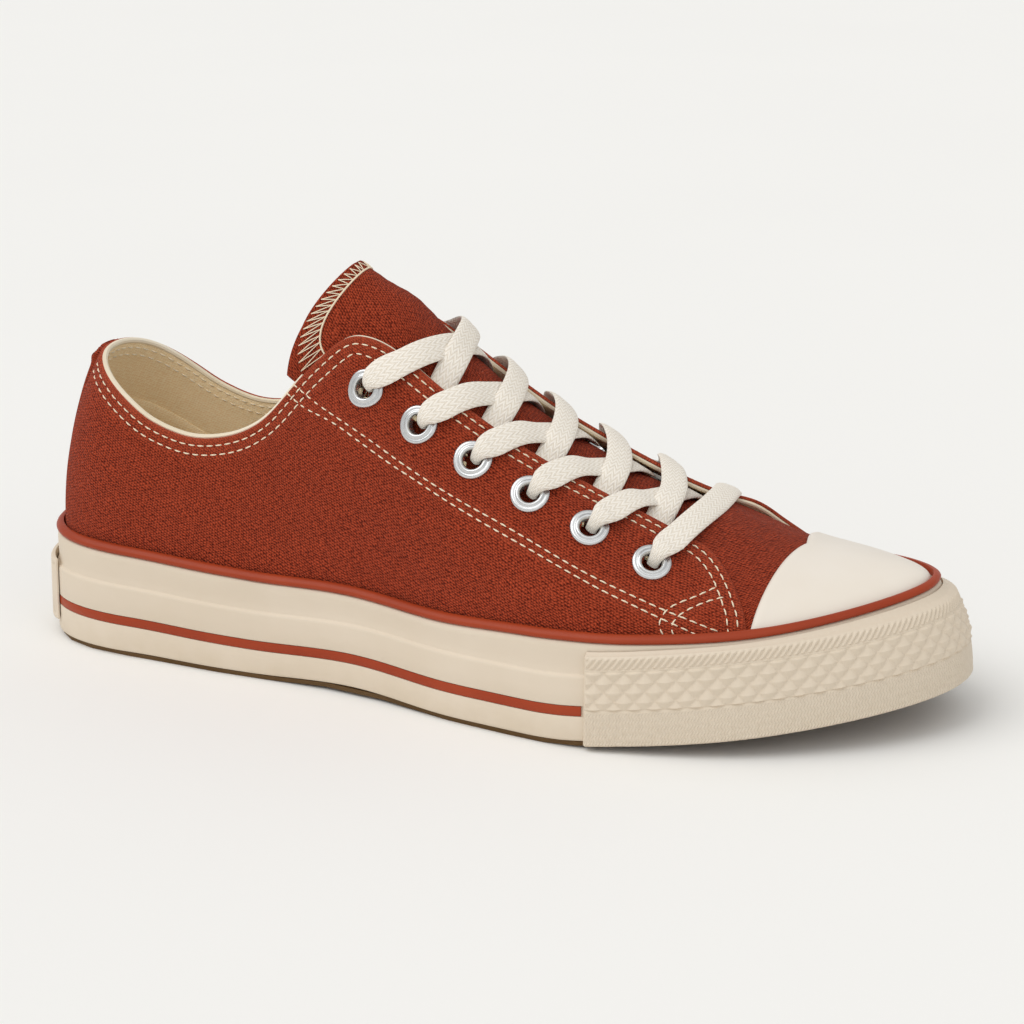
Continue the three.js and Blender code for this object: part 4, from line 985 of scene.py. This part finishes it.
angles = even_angles(0.735, 1.0, -1, 1.6)
shares = np.concatenate([[-0.6, -0.2], np.linspace(0, 1, 40)])
base, normal = surface(*arch_grid(angles[:, None] + 0 * shares[None], shares))
dip = fold_dip(base, VAMP_FOLDS, 0.3)
vamp = layer("canvas_vamp", base, normal, dip - LAP, dip - 2.8, sharp=60, finish=canvas, slot="canvas")
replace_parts(vamp, "upper")

shares = np.linspace(0, 1, 44)
reach = np.linspace(0, 1, 96)[:, None]
rear = angle_of(CAP_START + CAP_SWEEP * shares**3)
base, normal = surface(*arch_grid(rear[None] + (1 - rear[None]) * (1 - (1 - reach) ** 1.25), shares))
from_rear = np.linalg.norm(base - base[:1], axis=-1)
proud = 0.62 - 0.55 * (1 - smooth(from_rear, -0.1, 0.9))
proud = proud + 0.05 * np.sin(base[..., 0] * 0.21) * np.cos(base[..., 1] * 0.17)
cap = layer("toe_cap_rubber", base, normal, proud, -0.6, sharp=70, finish=cap_rubber, slot="cap")
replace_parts(cap, "toe_cap")
print("vamp columns:", len(angles), "- cap grid:", base.shape[:2])

# %% [markdown]
# The tongue is a tapered strip that lies under the laces and flares into a deep bow round the ankle. Its
# shape is a Bezier sweep between the part under the laces and the bow, in two layers: canvas outside, lining
# inside.

# %% Tongue
TONGUE_UNDER = [(0.46, 5, 0.5), (0.54, 5, 0.5), (0.62, 5, 0.5), (0.685, 5, 0.5), (0.722, 5, 0.5),
                (0.74, 3.8, 0.55), (0.79, 3.8, 0.6)]
TONGUE_TOP, TONGUE_HALF, TONGUE_BOW, TONGUE_WALL = np.array([-41.1, -0.5, 124.8]), 18.0, 34.0, 2.2
TONGUE_CROWN, TONGUE_LEAVES, TONGUE_HIDDEN = 2.2, 0.46, 0.33
TONGUE_BACK, TONGUE_UP = np.array([-0.62, 0, -0.78]), np.array([-0.78, 0, 0.62])


def tongue_under(s, row, layer):
    s, row = np.broadcast_arrays(np.asarray(s, float), np.asarray(row, float))
    under = np.array(TONGUE_UNDER)
    v = 1 - np.abs(row) * (1 - curve(TONGUE_UNDER, 2, s))
    off = -np.interp(s, under[:, 0], under[:, 1]) - layer * TONGUE_WALL
    return skin(angle_of(s), v, np.where(row < 0, -1.0, 1.0), off)


def tongue_point(t, row, layer):
    """Point of the tongue: t runs from -1 at its front end to 0 under the laces and to 1 up the free part."""
    t, row = np.broadcast_arrays(np.asarray(t, float), np.asarray(row, float))
    turn = row * math.pi / 2
    half, bow = TONGUE_HALF - layer * TONGUE_WALL, TONGUE_BOW - layer * TONGUE_WALL
    end = TONGUE_TOP + TONGUE_BACK * (bow * (1 - np.cos(turn)) + layer * TONGUE_WALL)[..., None]
    end = end - TONGUE_UP * (7 * np.abs(row) ** 5)[..., None]
    end = end + np.array([0, 1.0, 0]) * (half * np.sin(turn))[..., None]
    start, before = tongue_under(TONGUE_LEAVES, row, layer), tongue_under(0.5, row, layer)
    reach = np.linalg.norm(start - end, axis=-1, keepdims=True) / 3
    leave = start + unit(start - before) * reach
    arrive = end - TONGUE_UP * reach
    k = np.clip(t, 0, 1)[..., None]
    free = start * (1 - k) ** 3 + 3 * leave * k * (1 - k) ** 2 + 3 * arrive * k**2 * (1 - k) + end * k**3
    free = free - TONGUE_BACK * TONGUE_CROWN * (1 - row[..., None] ** 2) * smooth(k, 0.0, 0.4)
    under = tongue_under(TONGUE_LEAVES - np.minimum(t, 0) * TONGUE_HIDDEN, row, layer)
    return np.where((t < 0)[..., None], under, free)


rows = np.sin(np.linspace(-math.pi / 2, math.pi / 2, 61))
steps = np.concatenate([np.linspace(-1, -0.02, 70), np.linspace(0, 1, 52)])
grid = [tongue_point(steps[:, None], rows[None], layer) for layer in (0.0, 0.5, 0.56, 1.0)]
ripple = 0.08 * np.sin(steps * 17)[:, None] * np.cos(rows * 2.6)[None]
ripple = ripple + 0.05 * np.sin(steps * 41 + 1)[:, None]
face = grid[0] - (grid[3] - grid[0]) / TONGUE_WALL * (ripple * smooth(steps, -0.9, 0.0)[:, None])[..., None]
tongue = sheet("canvas_tongue", face, grid[1], sharp=60, finish=canvas, slot="canvas")
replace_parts(tongue, "tongue")
tongue_lining = sheet("tongue_lining", grid[2], grid[3], sharp=60, finish=lining, slot="lining")
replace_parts(tongue_lining, "tongue")
print("tongue top, mm above the floor:", round(float(face[..., 2].max()), 1))

# %% [markdown]
# A back stay covers the seam up the middle of the heel: a narrow strip of the same canvas, sewn down on both
# edges, with its end folded over the collar.

# %% Back stay
def share_at_height(angle, side, z):
    low, high = np.zeros(angle.shape), np.ones(angle.shape)
    for _ in range(24):
        middle = (low + high) / 2
        below = last_point(angle, middle, side)[..., 2] < z
        low, high = np.where(below, middle, low), np.where(below, high, middle)
    return (low + high) / 2


STAY_HALF = 7.0
across = np.linspace(-1, 1, 15)
fine = np.linspace(0, 0.12, 400)
stay_side = np.where(across < 0, -1.0, 1.0)
stay_angle = np.array([
    np.interp(abs(a) * STAY_HALF, np.abs(outline(fine, q, 4.5)[:, 1]), fine)
    for a, q in zip(across, stay_side)
])
low = share_at_height(stay_angle, stay_side, SIDE[0][1] + PIPING[0][1] + 0.4)
high = edge_share(share_of(stay_angle)) - 0.008
t = np.linspace(0, 1, 70)
v = low[:, None] + (high - low)[:, None] * t[None]
a2, s2 = stay_angle[:, None] + 0 * v, stay_side[:, None] + 0 * v
fold = 0.9 * np.exp(-(((t - 0.93) / 0.035) ** 2)) + 0.2 * np.sin(t * 9) * t
outside = 0.95 * (1 - smooth(np.abs(across), 0.85, 1.0))[:, None] + 0.35 + fold[None]
dips = 0.28 * np.exp(-((np.abs(across) - 0.72) / 0.1) ** 2)[:, None]
base, normal = surface(a2, v, s2)
stay = layer("back_stay", base, normal, outside - dips, -0.2, sharp=60, finish=canvas, slot="canvas")
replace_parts(stay, "heel_strip")
print("back stay height, mm:", round(float(np.ptp(base[..., 2])), 1))

# %% [markdown]
# An eyelet is a small flanged tube, rolled over on the outside. Turning its section round the hole makes it,
# and each point sits on the last's surface so that the flange lies flat on the curved canvas.

# %% Eyelets
EYELET_SECTION = [
    (2.95, -2.6), (2.9, -1.0), (2.92, 0.3), (3.02, 0.8), (3.25, 1.2), (3.6, 1.38), (3.95, 1.3), (4.2, 1.02),
    (4.42, 0.84), (4.75, 0.95), (5.15, 0.98), (5.5, 0.82), (5.74, 0.55), (5.82, 0.25), (5.6, 0.02),
    (3.3, 0.0), (3.25, -2.6),
]


def beside(s, v, side, along, up, off):
    """Point at mm along the shoe and mm up the arch from a place on the last."""
    angle = np.broadcast_to(angle_of(s), np.shape(along))
    share = np.broadcast_to(float(v), np.shape(along))
    sides = np.broadcast_to(float(side), np.shape(along))
    ahead = unit(last_point(angle + 1e-3, share, sides) - last_point(angle - 1e-3, share, sides))
    rising = np.cross(last_normal(angle, share, sides), ahead) * -side
    move = ahead * np.asarray(along)[..., None] + rising * np.asarray(up)[..., None]
    a, b = slide(angle, share, sides, move)
    return skin(a, b, sides, off)


turn = np.linspace(0, 2 * math.pi, 48, endpoint=False)
for side, word in ((-1, "lateral"), (1, "medial")):
    for number, (s, v) in enumerate(EYELETS, 1):
        radius = np.array([r for r, _ in EYELET_SECTION])[None]
        off = np.array([h for _, h in EYELET_SECTION])[None] + 0 * turn[:, None]
        loops = beside(s, v, side, radius * np.cos(turn)[:, None], radius * np.sin(turn)[:, None], off)
        eyelet = tube(f"eyelet_ring_{word}_{number}", loops, ring=True, sharp=70, finish=metal, slot="metal")
        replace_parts(eyelet, f"eyelet_{word}_{number}")
print("eyelets: 12, flange", 2 * max(r for r, _ in EYELET_SECTION), "mm across")

# %% [markdown]
# Each lace leaves an eyelet, arches over the edge of the quarter, crosses the tongue and slips under the
# other quarter's edge. The route is a table of heights over the last, made smooth, and the section is a flat
# braid that is gathered in the eyelet and spreads to its full width.

# %% Laces
HOLE, NEAR_EDGE, CENTER, FAR_EDGE = range(4)
LACE_WIDTH, LACE_THICK = 8.3, 1.4
UNDER, OVER, FRONT = 2, 3, 4
# Place, mm past it, height in mm of an under lace, an over lace and the front bar, width and thickness.
STRAP = [
    (HOLE, 0.4, -1.6, -1.6, -1.6, 0.44, 1.5), (HOLE, 1.3, 0.6, 0.6, 0.6, 0.48, 1.6),
    (HOLE, 2.5, 2.3, 2.3, 2.3, 0.6, 1.5), (HOLE, 4.2, 3.0, 3.0, 3.0, 0.84, 1.2),
    (HOLE, 6.6, 2.5, 2.5, 2.5, 1, 1), (NEAR_EDGE, -1, 1.7, 1.8, 1.8, 1, 1),
    (NEAR_EDGE, 2.4, 1.1, 1.4, 1.5, 1, 1), (CENTER, -9, -2.1, 0.3, 0.5, 1, 1),
    (CENTER, 0, -2.7, -0.8, -0.1, 1, 1), (CENTER, 9, -2.9, -0.9, -0.1, 1, 1),
    (FAR_EDGE, -2.5, -3.65, -3.5, -3.5, 1, 0.85), (FAR_EDGE, 3, -3.85, -3.85, -3.85, 1, 0.85),
]
# Where a lace passes the edge on its starting side, the ridge and the far edge, as shares of the length.
CROSSINGS = [
    (0.448, 0.485, 0.482), (0.502, 0.538, 0.538), (0.557, 0.590, 0.594), (0.614, 0.647, 0.654),
    (0.678, 0.706, 0.712),
]
BAR_CROSSING = (0.738, 0.748, 0.738)


def across_point(s, across, start_side, off):
    side = np.where(across < 0, start_side, -start_side).astype(float)
    return skin(angle_of(s), 1 - np.abs(across), side, off)


def strap_nodes(start_at, end_at, crossing, start_side, level, both):
    """Points, directions over them, widths and thicknesses along one lace."""
    near, ridge, far = crossing
    anchors = [start_at[1] - 1, float(edge_share(near)) - 1, 0.0, 1 - float(edge_share(far)), 1 - end_at[1]]
    route = list(zip(anchors, (start_at[0], near, ridge, far, end_at[0])))
    scale = []
    for share in anchors:
        shares = np.array([share - 0.01, share + 0.01])
        pair = across_point(curve(route, 1, shares), shares, start_side, np.zeros(2))
        scale.append(float(np.linalg.norm(pair[1] - pair[0])) / 0.02)
    rows = STRAP
    if both:
        first = [r for r in STRAP if r[0] < CENTER or (r[0] == CENTER and r[1] <= 0)]
        rows = first + [(4 - r[0], -r[1], *r[2:]) for r in first[:-1][::-1]]
    share = np.array([anchors[r[0]] + r[1] / scale[r[0]] for r in rows])
    raised = np.array([r[level] for r in rows])
    at = curve(route, 1, share)
    return (across_point(at, share, start_side, raised), across_point(at, share, start_side, raised + 5),
            np.array([r[5] for r in rows]) * LACE_WIDTH, np.array([r[6] for r in rows]) * LACE_THICK)


def smooth_line(values, count):
    """Resamples rows of numbers along a smooth curve through them."""
    values = np.asarray(values, float)
    run = run_of(values[:, :3])
    table = np.column_stack([run, values])
    t = np.linspace(0, run[-1], count)
    return np.stack([curve(table, k + 1, t) for k in range(values.shape[1])], -1), t


section = np.linspace(0, 2 * math.pi, 18, endpoint=False)
flat_x = np.sign(np.cos(section)) * np.abs(np.cos(section)) ** 0.55
flat_y = np.sign(np.sin(section)) * np.abs(np.sin(section)) ** 0.9


def lace(name, nodes, *stands_for, seed=0):
    points, over, width, thick = nodes
    line, run = smooth_line(np.column_stack([points, over, width, thick]), 90)
    center, over, width, thick = line[:, :3], line[:, 3:6], line[:, 6], line[:, 7]
    ahead = unit(np.gradient(center, axis=0))
    aside = unit(np.cross(ahead, over - center))
    twist = 0.07 * np.sin(run * 0.11 + seed)[:, None]
    face = np.cross(aside, ahead)
    aside, face = aside + face * twist, face - aside * twist
    sag = 0.22 * (np.abs(flat_x)[None] ** 2) * thick[:, None]
    loops = center[:, None] + aside[:, None] * (width[:, None] / 2 * flat_x)[..., None]
    loops = loops + face[:, None] * (thick[:, None] / 2 * flat_y[None] - sag)[..., None]
    across = (flat_x * 4.2 + np.where(flat_y < 0, 12, 0))[None] + 8.4
    cloth = np.stack(np.broadcast_arrays(run[:, None], across), -1).reshape(-1, 2)
    piece = tube(name, loops, cloth=cloth, sharp=60, finish=lace_braid, slot="lace")
    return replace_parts(piece, *stands_for)


for number in range(1, 6):
    pair = EYELETS[number - 1], EYELETS[number], CROSSINGS[number - 1]
    lace(f"lace_under_{number}", strap_nodes(*pair, -1, UNDER, False), f"lace_cross_{number}", seed=number)
    lace(f"lace_over_{number}", strap_nodes(*pair, 1, OVER, False), f"lace_cross_{number}", seed=number + 9)
lace("lace_front", strap_nodes(EYELETS[5], EYELETS[5], BAR_CROSSING, -1, FRONT, True), "lace_bar")
print("laces: 10 crossings and the front bar, each", LACE_WIDTH, "mm wide")

# %% [markdown]
# Stitches are small thread loops, 2.4 mm long with a short gap, half sunk in the dip of their seam. Each is a
# tiny capsule, and a whole seam is one mesh. They run where the seams above were laid.

# %% Stitching
def capsules(starts, middles, ends, radius):
    """Points and faces of six-sided thread segments through a start, a middle and an end."""
    points, faces, sides = [], [], 6
    turn = np.linspace(0, 2 * math.pi, sides, endpoint=False)
    for a, m, b in zip(starts, middles, ends):
        ahead = unit(b - a)
        helper = np.array([0.0, 0, 1]) if abs(ahead[2]) < 0.9 else np.array([1.0, 0, 0])
        e1 = unit(np.cross(ahead, helper))
        e2 = np.cross(ahead, e1)
        ring = e1[None] * np.cos(turn)[:, None] + e2[None] * np.sin(turn)[:, None]
        base = len(points)
        points.append(a)
        for centre, size in ((a + ahead * radius * 0.6, 0.8), (m, 1.0), (b - ahead * radius * 0.6, 0.8)):
            points.extend(centre + ring * radius * size)
        points.append(b)
        for j in range(sides):
            k = (j + 1) % sides
            faces.append((base, base + 1 + k, base + 1 + j))
            for level in range(2):
                p = base + 1 + level * sides
                faces.append((p + j, p + k, p + sides + k, p + sides + j))
            last = base + 1 + 2 * sides
            faces.append((last + j, last + k, base + 1 + 3 * sides))
    return points, faces


STITCH, STITCH_GAP, STITCH_RADIUS, STITCH_PROUD, STITCH_START = 2.4, 0.75, 0.25, 0.2, 0.6


def stitch_row(path, normals, store):
    """Adds stitches along a path to a store of points and faces."""
    run = run_of(path)
    at = np.arange(STITCH_START, run[-1] - STITCH, STITCH + STITCH_GAP)

    def between(values, t):
        return np.stack([np.interp(t, run, values[:, k]) for k in range(3)], -1)

    up = between(normals, at + STITCH / 2)
    a, m, b = between(path, at), between(path, at + STITCH / 2), between(path, at + STITCH)
    points, faces = capsules(a - up * 0.12, m + up * STITCH_PROUD, b - up * 0.12, STITCH_RADIUS)
    base = len(store[0])
    store[0].extend(points)
    store[1].extend([tuple(base + k for k in f) for f in faces])
    return len(at)


def laid(angle, v, side, off):
    """A seam path at a height over the canvas, with the front of the throat lifted as the canvas is."""
    base, normal = surface(angle, v, side)
    gap = nearest(base, last_point(*edge_path(side, 0.3, 0.832, 0.0, 600), side))
    rise = throat_lift(share_of(angle), gap, side)
    return base + normal * (rise + off)[..., None], normal


count = 0
for side, word in SIDES:
    store = ([], [])
    for a, v in seams[side]:
        count += stitch_row(*laid(a, v, side, -0.3), store)
    close_up(f"stitching_{word}_side", *store, sharp=80, finish=thread, slot="lace")
    store = ([], [])
    for inset in (2.5, 5.3):
        a, v = edge_path(side, 0.0, 0.31, inset)
        stitch_row(skin(a, v, side, -2.62), -last_normal(a, v, side), store)
    a = angle_of(np.linspace(0.0, 0.2, 300))
    for below in (0.045, 0.085):
        v = counter_top(share_of(a)) - below
        stitch_row(skin(a, v, side, -3.2), -last_normal(a, v, side), store)
    close_up(f"stitching_inside_{word}", *store, sharp=80, finish=lip_finish, slot="lining")
store = ([], [])
for column in (2, 12):
    share = low[column] + (high[column] - low[column]) * t
    base, normal = surface(a2[column], share, s2[column])
    count += stitch_row((base + normal * 0.5)[2:-3], normal[2:-3], store)
close_up("stitching_back_stay", *store, sharp=80, finish=thread, slot="lace")
print("stitches on the outside:", count)

# %% [markdown]
# The tongue's cut edge is overlocked: a chain line runs a few millimetres inside the edge, and threads zigzag
# between the two. Both follow a rounded loop over the tongue's free part.

# %% Overlocked edge of the tongue
EDGE_IN, CHAIN_IN, ROW_MM, RISE_MM, LOOP_START, LOOP_POWER = 0.2, 6.4, 34.0, 60.0, 0.25, 2 / 7


def tongue_loop(turn, inset):
    """Point near the tongue's edge: turn goes from one side over the top to the other, inset in mm."""
    wide, tall = 1 - inset / ROW_MM, 1 - inset / RISE_MM
    row = -wide * np.sign(np.cos(turn)) * np.abs(np.cos(turn)) ** LOOP_POWER
    t = LOOP_START + (tall - LOOP_START) * np.abs(np.sin(turn)) ** LOOP_POWER
    point = tongue_point(t, row, 0.0)
    return point, unit(point - tongue_point(t, row, 1.0))


def loop_turns(inset, shares):
    """Turns at shares of the length of the loop with an inset."""
    fine = 0.5 * math.pi * (1 - np.cos(np.linspace(0.03, math.pi - 0.03, 6000)))
    path, _ = tongue_loop(fine, inset)
    run = run_of(path)
    return np.interp(shares * run[-1], run, fine)


THREADS = 54
step = np.arange(THREADS)
ends = loop_turns(EDGE_IN, (step + 0.1) / THREADS), loop_turns(CHAIN_IN, (step + 0.4) / THREADS)
turns = np.stack(ends, 1).ravel()
path, up = tongue_loop(turns, np.tile([EDGE_IN, 6.3], THREADS))
path = path + up * 0.25
store = capsules(path[:-1], (path[:-1] + path[1:]) / 2 + up[:-1] * 0.1, path[1:], 0.17)
close_up("overlock_zigzag", *store, sharp=80, finish=thread, slot="lace")
path, up = tongue_loop(loop_turns(CHAIN_IN, np.linspace(0, 1, 150)), CHAIN_IN)
tube("overlock_chain", round_bar(path + up * 0.15, 0.3, up, 6), finish=thread, slot="lace")
path, up = tongue_loop(loop_turns(0.1, np.linspace(0, 1, 150)), 0.1)
tube("overlock_edge", round_bar(path - up * 0.6, 0.7, up, 8), finish=canvas, slot="canvas")
print("overlock threads:", len(turns) - 1)

# %% [markdown]
# The footbed fills the bottom of the shoe and shows through the collar. It is a slab with a soft rim, cut to
# the outline a little inside the lining.

# %% Footbed
FOOTBED = [(0, 20, 2, 8), (0.3, 21, 2.4, 9), (0.6, 18, 1.2, 8), (0.8, 17, 0.5, 5), (1, 16.6, 0.3, 2.5)]
stations = angle_of(share_of(np.linspace(0.0, 1.0, 120)))
s = share_of(stations)
margin = curve(SIDE, 2, s) + SIDEWALL + CLEAR + 2.9 + CLEAR
bed_top, rim_up, rim_wide = (curve(FOOTBED, k, s) for k in (1, 2, 3))
rim_top = bed_top + rim_up
pairs = [(margin, 12.4), (margin, rim_top - 0.6), (margin + 0.5, rim_top - 0.1), (margin + 1.6, rim_top)]
for k in (0.3, 0.6, 0.8, 1.0):
    pairs.append((margin + 1.6 + (rim_wide - 1.6) * k, bed_top + rim_up * (1 - smooth(k, 0.0, 1.0))))
near, far = (np.stack([on_sole(stations, side, a, z) for a, z in pairs], 1) for side in (-1.0, 1.0))
loops = np.concatenate([near, far[:, ::-1]], 1)
bed = tube("footbed", loops, finish=footbed, slot="lining", sharp=50, cloth=loops[..., :2].reshape(-1, 2))
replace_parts(bed, "insole")
print("footbed: top at the heel", FOOTBED[0][1], "mm over the outsole")

# %% [markdown]
# The floor is plain and pale. One large soft light stands over the heel on the camera's side, so that the
# shadow falls beyond the toe. A weaker one fills from the camera's toe side, and the world gives the even
# pale surround.

# %% Floor, light and camera
floor_mesh = bpy.data.meshes.new("floor")
floor_mesh.from_pydata([(-4, -4, 0), (4, -4, 0), (4, 4, 0), (-4, 4, 0)], [], [(0, 1, 2, 3)])
floor = add_object("floor", floor_mesh)
paper = new_finish("floor_paper", tone("f4f3f0"), 0.9)
put(paper, blend_colour(paper, noise(paper, 3.0), tone("f2f1ee"), tone("f5f4f1")))
floor_mesh.materials.append(paper)
floor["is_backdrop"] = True

world = bpy.data.worlds.new("studio")
bpy.context.scene.world = world
world.use_nodes = True
world.node_tree.nodes["Background"].inputs["Color"].default_value = (*tone("fbfbfa"), 1)
world.node_tree.nodes["Background"].inputs["Strength"].default_value = 0.645
bpy.context.scene.view_settings.view_transform = "Standard"


def soft_sun(name, towards, spread, strength):
    """A large, far light: spread is the angle in degrees that it fills, strength is in W per square metre."""
    lamp = bpy.data.lights.new(name, "SUN")
    lamp.angle, lamp.energy = math.radians(spread), strength
    add_object(name, lamp).rotation_euler = Vector(towards).to_track_quat("-Z", "Y").to_euler()


soft_sun("key", (0.55, 0.45, -1.0), 50, 1.05)
soft_sun("fill", (-0.5, 0.9, -1.1), 70, 0.46)

AIM, DISTANCE = Vector((0.00116, -0.000155, 0.05)), 0.79
azimuth, elevation, roll = (math.radians(a) for a in (23.0, 17.9, 1.1))
flat = math.cos(elevation)
back = Vector((math.sin(azimuth) * flat, -math.cos(azimuth) * flat, math.sin(elevation)))
right = Vector((math.cos(azimuth), math.sin(azimuth), 0))
above = back.cross(right)
turned = right * math.cos(roll) - above * math.sin(roll)
upright = right * math.sin(roll) + above * math.cos(roll)
lens = bpy.data.cameras.new("camera")
lens.lens, lens.sensor_width = 90.0, 36.0
lens.shift_x, lens.shift_y = 27.5 / 1024, 1.5 / 1024
camera = add_object("camera", lens)
facing = Matrix((turned, upright, back)).transposed().to_4x4()
camera.matrix_world = Matrix.Translation(AIM + back * DISTANCE) @ facing
bpy.context.scene.camera = camera
print("camera", DISTANCE, "m from the shoe, lens", lens.lens, "mm")

# %% [markdown]
# Last, the dressed shoe is measured against the CAD model.

# %% Sizes against the CAD model
new_low, new_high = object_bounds()
grown = [round(1000 * c, 2) for c in (*(cad_low - new_low), *(new_high - cad_high))]
print("the dressed shoe stands past the solids by, mm:", grown)
